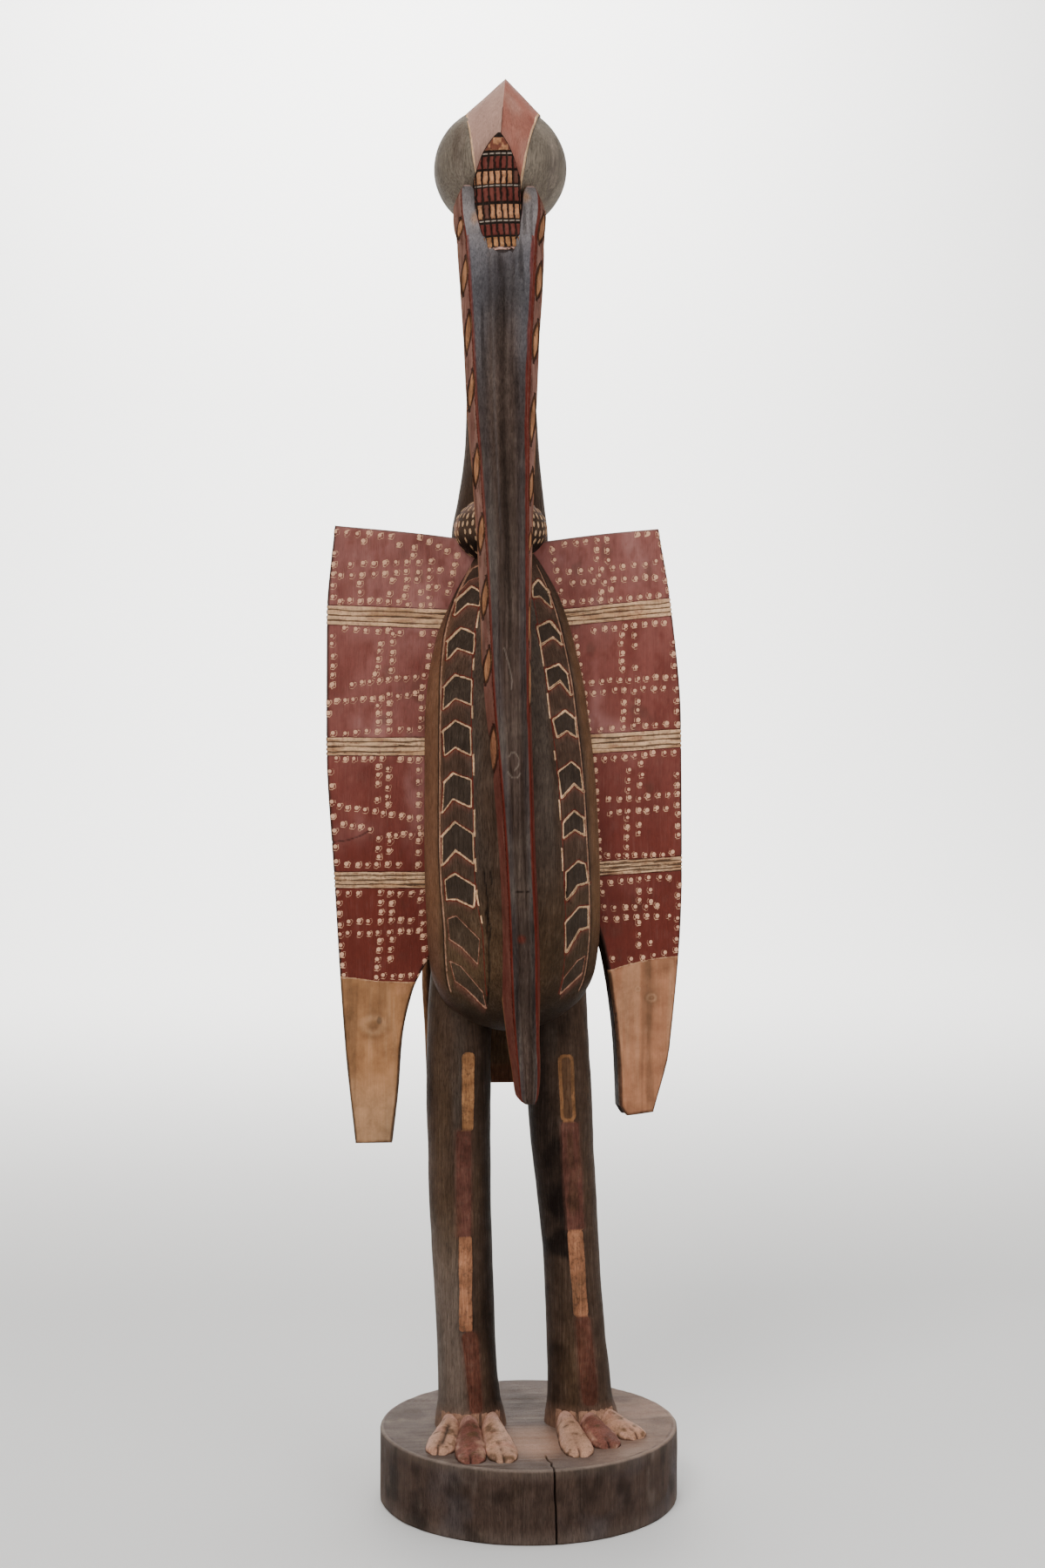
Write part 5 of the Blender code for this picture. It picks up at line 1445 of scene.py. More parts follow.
class Goitre:
    """The round swelling at the foot of the neck, covered with short dashes."""

    ROW = 0.0098
    COLUMN = 0.0076
    RISE = 0.041

    def build(self) -> Skin:
        """Makes and paints it.

        Returns:
            Its skin. Dashes lie in staggered cells of longitude and latitude times the radius. Each is an oval in
            the middle of its cell, moved and sized by random numbers, which also leave some cells bare.
        """
        skin = Skin("goitre", ellipsoid_rings(GOITRE_CENTRE, GOITRE_RADII, 118, 256))
        flat = (skin.points - np.array(GOITRE_CENTRE)) / np.array(GOITRE_RADII)
        longitude = np.arctan2(flat[..., 1], flat[..., 0])
        latitude = np.arcsin(np.clip(flat[..., 2], -1, 1))
        along = latitude * self.RISE + 0.0022 * noise(skin.points, (55, 55, 55), 6, 1)
        row = np.floor(along / self.ROW)
        ring_radius = np.maximum(0.049 * np.cos((row + 0.5) * self.ROW / self.RISE), 0.01)
        cells = np.maximum(np.round(2 * math.pi * ring_radius / self.COLUMN), 6)
        place = longitude / (2 * math.pi) * cells + 0.5 * (row % 2)
        column = np.floor(place)
        pick = lattice(np.stack([row, column, row * 0], -1), 7)
        other = lattice(np.stack([row, column, row * 0 + 3], -1), 9)
        du = (place - column - 0.5) * 2 * math.pi * ring_radius / cells + 0.0014 * (pick - 0.5)
        dv = along - (row + 0.5) * self.ROW + 0.0012 * (other - 0.5)
        wide = 0.0012 + 0.0007 * other
        gap = np.hypot(du, dv * wide / (0.0028 + 0.0012 * pick))
        lower = ramp(0.1, -0.7, flat[..., 2])
        upper = ramp(0.25, 0.75, flat[..., 2])
        shown = pick > 0.12 + 0.40 * lower
        skin.coat(Pigment.STAIN, 1.0)
        skin.coat(Pigment.MAUVE_BROWN, 0.75 * upper)
        skin.coat(Pigment.DUST, 0.25 * upper)
        # Painted shade: the underside of the swelling, where it sits on the body, is darkened nearly to black.
        skin.coat(Pigment.SOOT_AND_SHADE, 0.95 * ramp(-0.05, -0.55, flat[..., 2]))
        skin.mark(Layer.LIGHT, wide - gap - 0.01 * ~shown, tint=Pigment.CREAM)
        # The dashes are darkened, strongly on the underside as painted shade, and a little on the top.
        skin.ink *= (1 - 0.45 * lower - 0.25 * upper)[..., None]
        skin.height += 0.0007 * ramp(0.0006, -0.0006, gap - wide) * shown
        side_on = ramp(0.90, 0.99, np.abs(flat[..., 0]))
        skin.coat(Pigment.TAN_ROSE, 0.55 * side_on * (1 - lower))
        skin.weather(111, 0.15)
        return skin


class Head:
    """The round head, its roof-shaped crest and the brick-patterned casque."""

    ROWS = (
        (1.4200, 1.4070, Pigment.ORANGE_CREAM), (1.4005, 1.3880, Pigment.OXBLOOD),
        (1.3855, 1.3726, Pigment.ORANGE_CREAM), (1.3685, 1.3540, Pigment.OXBLOOD),
        (1.3508, 1.3360, Pigment.ORANGE_CREAM), (1.3300, 1.3180, Pigment.OXBLOOD),
        (1.3160, 1.3056, Pigment.TAN),
    )
    COLUMN_PITCH = 0.0063
    COLUMNS = 7
    TILT = 0.06

    def build(self) -> list[Skin]:
        """Makes and paints all three.

        Returns:
            The skins of head, crest and casque.
        """
        return [self.skull(), self.crest(), self.casque()]

    def skull(self) -> Skin:
        """Makes the round head.

        Returns:
            Its skin.
        """
        skin = Skin("head", ellipsoid_rings(HEAD_CENTRE, HEAD_RADII, 130, 190))
        skin.coat(Pigment.HEAD_OLIVE, 1.0)
        skin.coat(Pigment.STAIN_GREY, 0.45 * ramp(0.0, 0.6, noise(skin.points, (40, 40, 20), 121)))
        rub = noise(skin.points, (90, 90, 10), 122)
        skin.coat(Pigment.DUST, 0.28 * ramp(0.1, 0.7, rub))
        skin.coat(Pigment.STAIN, 0.5 * ramp(0.15, 0.7, noise(skin.points, (50, 50, 14), 123)))
        skin.coat(Pigment.OCHRE, 0.80 * ramp(0.03, 0.0, np.abs(skin.z - 1.352) + 0.6 * np.abs(
            np.abs(skin.x + 0.037) - 0.028)) * (skin.y < -0.03))
        skin.height += 0.0006 * noise(skin.points, (70, 70, 16), 124)
        skin.weather(125, 0.14)
        return skin

    def crest(self) -> Skin:
        """Makes the crest.

        Returns:
            Its skin: rings in planes that turn about the head's axis from the face over the top to the nape. Each
            ring is a roof over the head: two slopes from the ridge to edges that stand a little proud of the head,
            and a keel inside it. Slopes have 26 points each, so that ridge and edges stay crisp.
        """
        angles = np.linspace(CREST_ANGLES[0], CREST_ANGLES[-1], 190)
        half = smooth_curve(CREST_ANGLES, CREST_HALF_WIDTHS, angles)
        ridge = smooth_curve(CREST_ANGLES, CREST_RIDGE, angles)
        cos_t, sin_t = math.cos(HEAD_TURN), math.sin(HEAD_TURN)
        across = np.array([cos_t, sin_t, 0.0])
        front, up = np.cos(angles), np.sin(angles)
        outward = np.stack([front * sin_t, -front * cos_t, up], -1)
        lift = np.maximum(up, 0.0)
        depth = 1 / np.hypot(front / HEAD_RADII.y, up / HEAD_RADII.z)
        edge_depth = depth * np.sqrt(1 - (half / HEAD_RADII.x) ** 2) + CREST_STAND
        top = outward * ridge[:, None] + across * (CREST_LEAN * lift)[:, None]
        shift = across * (CREST_SHIFT * lift)[:, None]
        edges = [outward * edge_depth[:, None] + across * (side * half)[:, None] for side in (1, -1)]
        keel = [edge / 2 for edge in edges]
        count = 26
        t = np.linspace(0.0, 1.0, count)
        t_round = t[:, None]
        rings = np.empty((len(angles), 2 * count + 6, 3))
        slope = np.zeros((len(angles), 2 * count + 6))
        flat = np.zeros_like(slope)
        for k in range(len(angles)):
            left = top[k] + (edges[0][k] - top[k]) * t_round
            right = edges[1][k] + (top[k] - edges[1][k]) * t_round
            inner = [edges[0][k] * 0.97, edges[0][k] * 0.8, keel[0][k], keel[1][k], edges[1][k] * 0.8,
                     edges[1][k] * 0.97]
            rings[k] = np.concatenate((left, inner, right)) + shift[k] + np.array(HEAD_CENTRE)
        slope[:, :count] = 1.0
        slope[:, count + 6:] = -1.0
        flat[:, count:count + 6] = 0.004
        flat[:, :count] = (1 - t) * half[:, None]
        flat[:, count + 6:] = t * half[:, None]
        skin = Skin("crest", rings, 1)
        left_face, right_face = (slope > 0).astype(float), (slope < 0).astype(float)
        skin.coat(Pigment.MAUVE_BROWN, 1.0)
        skin.coat(Pigment.BRICK, left_face)
        skin.coat(Pigment.ROSE_TAN, right_face)
        cloud = noise(skin.points, (50, 50, 22), 131)
        skin.coat(Pigment.ROSE_TAN, 0.30 * left_face * ramp(0.0, 0.6, cloud))
        skin.coat(Pigment.DARK_RED, 0.35 * left_face * ramp(0.05, 0.6, -cloud))
        skin.coat(Pigment.BRICK, 0.30 * right_face * ramp(0.1, 0.7, -cloud))
        behind = ramp(math.radians(100), math.radians(150), angles)[:, None]
        skin.coat(Pigment.STAIN, 0.75 * behind)
        wobble = 0.0012 * noise(skin.points, (120, 120, 80), 132)
        faced = ramp(math.radians(140), math.radians(110), angles)[:, None]
        hidden = 0.05 * (1 - faced)
        for face, reach, tint in ((slope > 0, 0.0021, Pigment.CREAM), (slope < 0, 0.0017, Pigment.CREAM)):
            skin.mark(Layer.LIGHT, reach - flat + wobble - hidden - 0.05 * ~face, tint=tint)
        skin.height += 0.0005 * noise(skin.points, (60, 60, 20), 133) * np.abs(slope)
        skin.weather(134, 0.12)
        return skin

    def casque(self) -> Skin:
        """Makes the casque.

        Returns:
            Its skin: an almond outline with an arched front of 88 points, on which bricks stand 1.2 mm proud. A
            point's row is its height less 0.06 times its distance across, and its column that distance over 6.3 mm.
        """
        heights = np.linspace(1.2965, 1.4255, 250)
        at = read_levels(CASQUE, heights)
        share = np.sin(np.linspace(-math.pi / 2, math.pi / 2, 88))
        across = share * at["half_width"][:, None]
        rings = np.empty((len(heights), 92, 3))
        rings[:, :88, 0] = at["x"][:, None] + across
        rings[:, :88, 1] = at["front"][:, None] + CASQUE_ARCH * across**2
        for k, side in ((88, 1.0), (89, 0.4), (90, -0.4), (91, -1.0)):
            rings[:, k, 0] = at["x"] + side * at["half_width"] * 0.98
            rings[:, k, 1] = at["back"]
        rings[..., 2] = heights[:, None]
        skin = Skin("casque", rings, 1)
        wide = np.concatenate((across, np.zeros((len(heights), 4))), axis=1)
        face = np.concatenate((np.ones(88), np.zeros(4)))[None, :] * np.ones((len(heights), 1))
        wobble = 0.00035 * noise(skin.points, (260, 260, 260), 141)
        level = skin.z - self.TILT * wide + wobble
        place = wide / self.COLUMN_PITCH + self.COLUMNS / 2 + wobble * 500
        column = np.floor(place)
        from_line = (0.5 - np.abs(place - column - 0.5)) * self.COLUMN_PITCH
        rim = (1 - np.abs(share))[None, :] * at["half_width"][:, None]
        rim = np.concatenate((rim, np.zeros((len(heights), 4))), axis=1)
        skin.coat(Pigment.SOOT_AND_SHADE, 0.9)
        for k, (top, foot, pigment) in enumerate(self.ROWS):
            inside = np.minimum(np.minimum(top - level, level - foot), np.minimum(from_line - 0.0010, rim - 0.0006))
            if k == 0:
                inside = np.minimum(np.minimum(top - level, level - foot), rim - 0.0010)
            brick = ramp(-0.0003, 0.0006, inside) * face
            pick = lattice(np.stack([column, column * 0 + k, column * 0], -1), 17)
            worn = ramp(-0.75, -0.2, noise(skin.points, (240, 240, 240), 150 + k) + 0.3 * pick)
            if pigment is Pigment.OXBLOOD:
                skin.coat(pigment, 0.95 * brick)
                skin.coat(Pigment.BRICK, 0.18 * brick * pick)
            else:
                bare = 0.01 * ((pick < 0.10) & (k > 0) | (worn < 0.45)) + 0.05 * (1 - face)
                skin.coat(Pigment.MAUVE_BROWN, 0.65 * brick)
                aside = from_line - 0.0011 if k else rim - 0.0012
                skin.mark(Layer.LIGHT, np.minimum(top - level, level - foot) - bare,
                          np.minimum(aside, rim - 0.0006), pigment)
            skin.height += 0.0012 * brick
        skin.ink *= (0.80 + 0.45 * noise(skin.points, (210, 210, 210), 165))[..., None]
        blotch = ramp(-0.05, 0.15, noise(skin.points, (190, 190, 120), 166)) * ramp(1.406, 1.408, level)
        skin.ink += (Pigment.OXBLOOD.rgb - skin.ink) * (0.85 * blotch)[..., None]
        for line in (1.4035, 1.3706, 1.3335):
            dash = band(level, line, 0.0007, 0.0006) * ramp(0.0004, 0.0012, from_line) * face * ramp(
                0.0005, 0.0015, rim)
            skin.coat(Pigment.DUST, 0.8 * dash)
            skin.height += 0.0007 * dash
        foot_line = band(level, 1.3040 + 4 * wobble, 0.0012, 0.0012) * face
        skin.coat(Pigment.PINK_CREAM, 0.9 * foot_line * ramp(-0.3, 0.2, noise(skin.points, (500, 500, 500), 160)))
        below = ramp(1.3030, 1.3015, level)
        skin.coat(Pigment.CHARCOAL, below)
        skin.weather(161, 0.10)
        return skin


CREAM_RUNS = {
    -1: ((1.340, 1.322), (1.297, 1.261), (1.239, 1.197), (1.175, 1.139), (1.099, 1.059), (1.029, 0.993),
         (0.965, 0.926), (0.895, 0.859), (0.817, 0.768)),
    1: ((1.353, 1.317), (1.297, 1.255), (1.233, 1.188), (1.154, 1.103), (1.078, 1.042), (1.016, 0.993),
        (0.944, 0.899), (0.886, 0.833)),
}


class Beak:
    """The long beak, from the forked top beside the casque down to the tip in front of the legs."""

    FRONT = 46
    SIDE = 28
    BACK = 8

    def build(self) -> list[Skin]:
        """Makes and paints the beak and its two prongs.

        Returns:
            The three skins.
        """
        heights = np.concatenate((np.linspace(0.4332, 0.446, 14, endpoint=False),
                                  np.linspace(0.446, 1.3448, 510)))
        return [
            self.section("beak", BEAK, heights, 0.0010, (-1, 1)),
            self.section("prong_right", PRONG_RIGHT, np.linspace(1.276, 1.3741, 80), 0.0, (-1,)),
            self.section("prong_left", PRONG_LEFT, np.linspace(1.276, 1.3741, 80), 0.0, (1,)),
        ]

    def section(self, name: str, levels: Sequence[BeakLevel], heights: np.ndarray, groove: float,
                banded: Sequence[int]) -> Skin:
        """Makes one part of the beak.

        Args:
            name: Its name.
            levels: Its table.
            heights: Heights of its rings.
            groove: Depth of the two long grooves in its front.
            banded: Sides that carry the painted band: -1 the bird's right, 1 its left.

        Returns:
            Its skin: rings of a flat front with rounded edges, two sides that spread backwards, and a back.
        """
        at = {key: value[:, None] for key, value in read_levels(levels, heights).items()}
        n, m, b = self.FRONT, self.SIDE, self.BACK
        share = np.sin(np.linspace(-math.pi / 2, math.pi / 2, n + 2))[1:-1] * 0.5 + np.linspace(-1, 1, n + 2)[
            1:-1] * 0.5
        depth = np.linspace(0.0, 1.0, m) ** 1.25
        total = n + 2 * m + b
        rings = np.empty((len(heights), total, 3))
        edge = 0.0012
        round_edge = edge * np.abs(share) ** 24
        rings[:, :n, 0] = at["x"] + share * at["half_width"]
        rings[:, :n, 1] = at["front"] + round_edge
        right_x = at["x"] + at["half_width"] + at["spread_right"] * depth
        left_x = at["x"] - at["half_width"] - at["spread_left"] * depth
        side_y = at["front"] + edge + (at["back"] - at["front"] - edge) * depth
        rings[:, n:n + m, 0], rings[:, n:n + m, 1] = right_x, side_y
        back = np.linspace(0.0, 1.0, b + 2)[1:-1]
        rings[:, n + m:n + m + b, 0] = right_x[:, -1:] + (left_x[:, -1:] - right_x[:, -1:]) * back
        rings[:, n + m:n + m + b, 1] = at["back"] + 0.002 * np.sin(math.pi * back)
        rings[:, n + m + b:, 0], rings[:, n + m + b:, 1] = left_x[:, ::-1], side_y[:, ::-1]
        rings[..., 2] = heights[:, None]
        skin = Skin(name, rings)
        where = np.zeros((len(heights), total))
        where[:, :n] = share
        front = np.zeros_like(where)
        front[:, :n] = 1.0
        gap = np.zeros_like(where)
        gap[:, n:n + m], gap[:, n + m + b:] = depth, depth[::-1]
        sides = np.zeros_like(where)
        sides[:, n:n + m], sides[:, n + m + b:] = 1.0, -1.0
        self.face(skin, where, front, at["half_width"], groove)
        for side in banded:
            self.side_band(skin, side, gap, (sides == side).astype(float))
        # Painted light: the prongs' inner sides, which carry no band, are blue-grey where they face up into the light.
        for side in {-1, 1} - set(banded):
            skin.coat(Pigment.BLUE_GREY, 0.7 * (sides == side))
        skin.coat(Pigment.EARTH_BLACK, 0.5 * (1 - front) * (sides == 0))
        if not groove:
            skin.coat(Pigment.PINK_CREAM, 0.40 * ramp(1.3715, 1.3735, skin.z))
            skin.coat(Pigment.MAUVE_BROWN, 0.5 * ramp(1.364, 1.371, skin.z) * (1 - front))
        skin.rough[:] = 0.52
        skin.weather(171, 0.16)
        return skin

    def face(self, skin: Skin, where: np.ndarray, front: np.ndarray, half: np.ndarray, groove: float) -> None:
        """Paints the front: charcoal with dark streaks, bluer above, and carves its grooves and scratches.

        Args:
            skin: The part of the beak.
            where: Share across the front, from -1 to 1.
            front: Mask of the front.
            half: Half width of the front at each ring.
            groove: Depth of the two long grooves.
        """
        skin.coat(Pigment.CHARCOAL, 1.0)
        bluish = np.clip(0.25 + 0.9 * np.abs(where) * front + (1 - front), 0, 1) * ramp(1.12, 1.30, skin.z)
        skin.coat(Pigment.SLATE, 0.8 * bluish)
        skin.coat(Pigment.BLUE_GREY, np.maximum(ramp(1.275, 1.35, skin.z), 0.25 * bluish))
        haze = noise(skin.points, (40, 40, 16), 184)
        skin.coat(Pigment.STAIN_GREY, front * ramp(-0.1, 0.6, haze) * (0.45 * ramp(0.84, 0.79, skin.z) * ramp(
            0.60, 0.68, skin.z) + 0.18))
        streak = noise(skin.points, (210, 60, 5), 181, 4)
        skin.coat(Pigment.STAIN_GREY, 0.38 * front * ramp(-0.05, 0.5, streak) * ramp(1.28, 1.18, skin.z))
        skin.coat(Pigment.STAIN, 0.40 * front * ramp(1.27, 1.20, skin.z) * ramp(0.75, 0.35, np.abs(where)))
        skin.coat(Pigment.SOOT_AND_SHADE, 0.55 * front * ramp(0.05, 0.55, noise(skin.points, (260, 60, 4), 182, 3)))
        skin.coat(Pigment.SOOT_AND_SHADE, 0.60 * front * band(where, 0.02, 0.14, 0.25) * ramp(1.32, 1.2, skin.z) * ramp(
            0.80, 0.95, skin.z))
        skin.coat(Pigment.BLUE_GREY, 0.22 * front * band(where, -0.30, 0.04, 0.12) * ramp(0.98, 1.05, skin.z))
        for place in (-0.36, 0.36):
            line = ramp(0.10, 0.0, np.abs(where - place)) * front
            skin.height -= groove * line
            if groove:
                skin.coat(Pigment.EARTH_BLACK, 0.30 * line)
        tone = smooth_curve((0.45, 0.577, 0.712, 0.891, 1.07, 1.20, 1.258, 1.33, 1.37), (
            1.8, 0.95, 1.7, 1.85, 1.42, 1.5, 0.98, 1.70, 1.0), skin.z)
        skin.shade(1 + (tone - 1) * front)
        for x, z in ((-0.0630, 1.337), (-0.0100, 1.362)):
            near = np.hypot((skin.x - x) * 1.7, skin.z - z) + 0.004 * noise(skin.points, (150, 150, 150), 189)
            skin.coat(Pigment.OCHRE, 0.42 * ramp(0.012, 0.001, near))
        skin.coat(Pigment.DARK_RED, 0.70 * front * ramp(
            0.89, 0.90, where + 0.03 * noise(skin.points, (40, 40, 30), 191)))
        skin.coat(Pigment.DARK_RED, 0.60 * front * ramp(0.92, 0.96, -where))
        if not groove:
            return
        across = where * half
        marks = (((-0.006, 0.895), (-0.002, 0.880), (0.001, 0.863), (0.000, 0.853)),
                 ((-0.006, 0.786), (-0.003, 0.791), (0.001, 0.790), (0.004, 0.784), (0.003, 0.777), (-0.001, 0.773)),
                 ((-0.008, 0.771), (-0.004, 0.765), (0.001, 0.765), (0.005, 0.770)))
        for run in marks:
            gap = line_distance(across, skin.z, run) + 0.0003 * noise(skin.points, (300, 300, 300), 188)
            line = ramp(0.0009, 0.0001, gap) * front
            skin.coat(Pigment.DUST, 0.30 * line)
            skin.height -= 0.0002 * line
        crack = ramp(0.0009, 0.0002, line_distance(across, skin.z, ((-0.010, 0.652), (0.004, 0.650), (0.009, 0.652))))
        skin.coat(Pigment.SOOT_AND_SHADE, 0.9 * crack * front)
        skin.height -= 0.0007 * crack * front
        skin.coat(Pigment.DARK_RED, 0.5 * front * ramp(0.006, 0.002, np.hypot(across + 0.002, skin.z - 0.603)))

    def side_band(self, skin: Skin, side: int, gap: np.ndarray, mask: np.ndarray) -> None:
        """Paints one side: a dark red line behind the front edge, then cream fields shaped like leaves.

        Args:
            skin: The part of the beak.
            side: -1 for the bird's right, 1 for its left.
            gap: How far back each point lies on the side, from 0 at the front edge to 1.
            mask: Mask of that side.
        """
        low = ramp(0.83, 0.76, skin.z)
        skin.coat(Pigment.MAUVE_BROWN, mask)
        skin.coat(Pigment.ROSE_TAN, 0.45 * mask * ramp(0.80, 0.95, skin.z))
        skin.coat(Pigment.OXBLOOD, 0.45 * mask * ramp(-0.3, 0.4, noise(skin.points, (80, 80, 24), 195 + side)))
        skin.coat(Pigment.OXBLOOD, 0.55 * mask * low * (1.0 if side > 0 else 0.5))
        skin.coat(Pigment.STAIN, 0.40 * mask * ramp(0.05, 0.5, noise(skin.points, (110, 110, 50), 199 + side)))
        wander = 0.0025 * noise(skin.points, (60, 60, 40), 190 + side)
        level = skin.z + wander
        off = 0.02 * (1 - mask)
        reach = 0.0060
        for top, foot in CREAM_RUNS[side]:
            along = np.clip((top - level) / (top - foot), 0.0, 1.0)
            half = (0.34 if side < 0 else 0.30) * np.sin(math.pi * along) ** 0.80
            centre = 0.78 - 0.26 * along if side > 0 else 0.30 + 0.46 * along
            centre = np.clip(centre, 0.36 + half, 0.99 - half) if side > 0 else centre
            inside = (half - np.abs(gap - centre)) * reach
            ends = np.minimum(top - level, level - foot)
            skin.mark(Layer.LIGHT, np.minimum(inside, ends) - off, (gap - 0.16) * reach,
                      Pigment.TAN_ROSE if foot < 0.80 and side < 0 else Pigment.ORANGE_CREAM)
            rim = np.abs(inside) - 0.0002
            skin.mark(Layer.CUT, 0.0004 - rim - off, np.minimum(ends + 0.003, (gap - 0.18) * reach))
            skin.height -= 0.0008 * ramp(0.0012, 0.0002, np.abs(inside)) * mask * (ends > -0.003)
        nicks = np.abs(((level + 0.05 * gap) * 19 + 0.3 * wander / 0.0025) % 1 - 0.5) * 0.052
        skin.mark(Layer.CUT, 0.0005 - nicks - off - 0.01 * (skin.z < 0.85), (gap - 0.25) * reach)
        skin.ink *= (0.86 + 0.30 * noise(skin.points, (90, 90, 30), 197 + side))[..., None]
        edge = 0.15 if side < 0 else 0.26
        skin.mark(Layer.RED, (edge - gap) * reach - off, tint=None)
        skin.mark(Layer.CUT, (gap - edge + 0.02) * reach - off, (edge + 0.02 - gap) * reach)
        skin.height -= 0.0006 * ramp(0.05, 0.01, np.abs(gap - 0.15)) * mask
        skin.coat(Pigment.TAN, 0.45 * ramp(0.90, 0.96, gap) * mask)


# Wings

WING_THICKNESS = 0.020
WING_ROOT = {-1: Vector((-0.060, -0.002, 0.0)), 1: Vector((0.020, -0.010, 0.0))}
WING_SWEEP = {-1: math.radians(5.0), 1: math.radians(14.0)}
WING_EDGES = {
    -1: {
        "top": ((-0.0300, 1.0080), (0.0580, 1.0196), (0.1460, 1.0279)),
        "outer": ((0.1241, 0.3724), (0.1352, 0.4770), (0.1472, 0.6610), (0.1550, 0.8000), (0.1546, 0.9300),
                  (0.1460, 1.0279)),
        "foot": ((0.0854, 0.3730), (0.1241, 0.3724)),
        "inner": ((0.0854, 0.3730), (0.0789, 0.4305), (0.0752, 0.4813), (0.0641, 0.5321), (0.0447, 0.5709),
                  (0.0, 0.6300), (-0.0300, 0.6600), (-0.0300, 1.0080)),
    },
    1: {
        "top": ((-0.0300, 1.0070), (0.0696, 1.0211), (0.1268, 1.0271)),
        "outer": ((0.1208, 0.3988), (0.1400, 0.4700), (0.1543, 0.6580), (0.1532, 0.8180), (0.1420, 0.9400),
                  (0.1268, 1.0271)),
        "foot": ((0.0826, 0.4076), (0.0916, 0.3968), (0.1208, 0.3988)),
        "inner": ((0.0826, 0.4076), (0.0796, 0.4730), (0.0716, 0.5386), (0.0557, 0.6024), (0.0, 0.6700),
                  (-0.0300, 0.6900), (-0.0300, 1.0070)),
    },
}
WING_BANDS = {
    -1: (((0.9172, 0.9375), (0.9230, 0.9430)), ((0.7841, 0.8026), (0.7841, 0.8026)), ((0.6438, 0.6604),) * 2),
    1: (((0.9200, 0.9370), (0.9350, 0.9540)), ((0.7830, 0.8035), (0.7920, 0.8110)),
        ((0.6530, 0.6680), (0.6592, 0.6735))),
}
TIP_LINE = {-1: ((0.0623, 0.5441), (0.0950, 0.5445), (0.1371, 0.5496)),
            1: ((0.0696, 0.5545), (0.1147, 0.5640), (0.1492, 0.5666))}

# Rows of dots on each wing: outward place and height of the first and the last dot in millimetres, and their number
DOT_ROWS = {
    -1: (
        (145, 1021, 76, 1016, 7), (56, 1016, 27, 1002, 4), (147, 1011, 148, 953, 6),
        (140, 948, 79, 948, 7), (68, 944, 44, 943, 3), (141, 987, 45, 989, 9), (140, 975, 34, 981, 10),
        (116, 1011, 120, 957, 6), (78, 1008, 87, 957, 5), (60, 1014, 73, 953, 8), (41, 1003, 47, 964, 5),
        (17, 997, 26, 957, 5), (60, 970, 26, 958, 4), (65, 964, 47, 951, 3),
        (136, 919, 42, 913, 9), (149, 912, 148, 859, 6), (153, 840, 152, 809, 4), (147, 808, 55, 813, 9),
        (43, 912, 52, 857, 6), (55, 846, 55, 812, 4), (147, 859, 51, 869, 11), (153, 840, 60, 850, 11),
        (97, 904, 103, 870, 5), (100, 847, 100, 810, 5), (84, 912, 88, 865, 6), (89, 848, 88, 810, 5),
        (145, 781, 57, 780, 10), (151, 768, 144, 671, 7), (144, 668, 58, 669, 9), (57, 768, 57, 671, 9),
        (142, 731, 57, 717, 10), (137, 711, 110, 707, 4), (90, 701, 57, 701, 5), (100, 782, 100, 729, 7),
        (100, 696, 100, 667, 4), (90, 780, 90, 721, 7), (89, 701, 88, 666, 5),
        (143, 639, 54, 639, 9), (142, 628, 140, 606, 3), (140, 594, 136, 553, 5), (95, 550, 56, 551, 5),
        (55, 632, 50, 566, 6), (142, 608, 54, 610, 9), (132, 595, 56, 599, 8), (98, 639, 98, 597, 5),
        (99, 589, 102, 549, 5), (86, 639, 86, 599, 5), (85, 590, 90, 558, 4),
    ),
    1: (
        (20, 1009, 67, 1014, 5), (102, 1021, 126, 1022, 3), (130, 1010, 140, 949, 6),
        (28, 948, 138, 956, 11), (5, 1003, 18, 947, 6), (25, 980, 135, 991, 10), (28, 968, 135, 977, 10),
        (54, 1011, 62, 950, 8), (66, 1014, 73, 951, 7),
        (53, 918, 134, 927, 8), (31, 911, 46, 820, 10), (143, 905, 149, 818, 8), (47, 811, 149, 818, 9),
        (50, 863, 145, 869, 10), (52, 852, 144, 857, 9), (84, 922, 86, 867, 7), (87, 850, 86, 822, 4),
        (99, 913, 101, 868, 5), (103, 858, 102, 814, 6),
        (53, 779, 144, 787, 9), (54, 767, 58, 683, 9), (149, 763, 149, 686, 8), (58, 676, 142, 678, 9),
        (59, 736, 149, 741, 9), (60, 722, 146, 727, 9), (92, 768, 90, 686, 9), (107, 784, 103, 679, 11),
        (60, 647, 150, 654, 9), (150, 644, 146, 573, 7), (70, 561, 146, 573, 7), (62, 637, 73, 567, 6),
        (63, 621, 149, 622, 8), (65, 610, 149, 611, 8), (105, 650, 104, 569, 8), (117, 650, 116, 571, 8),
    ),
}


def edge_curve(corners: Sequence[tuple], steps: int) -> np.ndarray:
    """Points along a smooth run through corners, evenly spread.

    Args:
        corners: The corners.
        steps: Number of points.

    Returns:
        Points by two coordinates, each coordinate a smooth curve of the length along the corners.
    """
    corner = np.array(corners, float)
    knots = np.concatenate(([0.0], np.cumsum(np.hypot(*np.diff(corner, axis=0).T))))
    at = np.linspace(0.0, knots[-1], steps)
    if len(corner) == 2:
        return corner[0] + (corner[1] - corner[0]) * (at / knots[-1])[:, None]
    return np.stack([smooth_curve(knots, corner[:, axis], at) for axis in (0, 1)], -1)


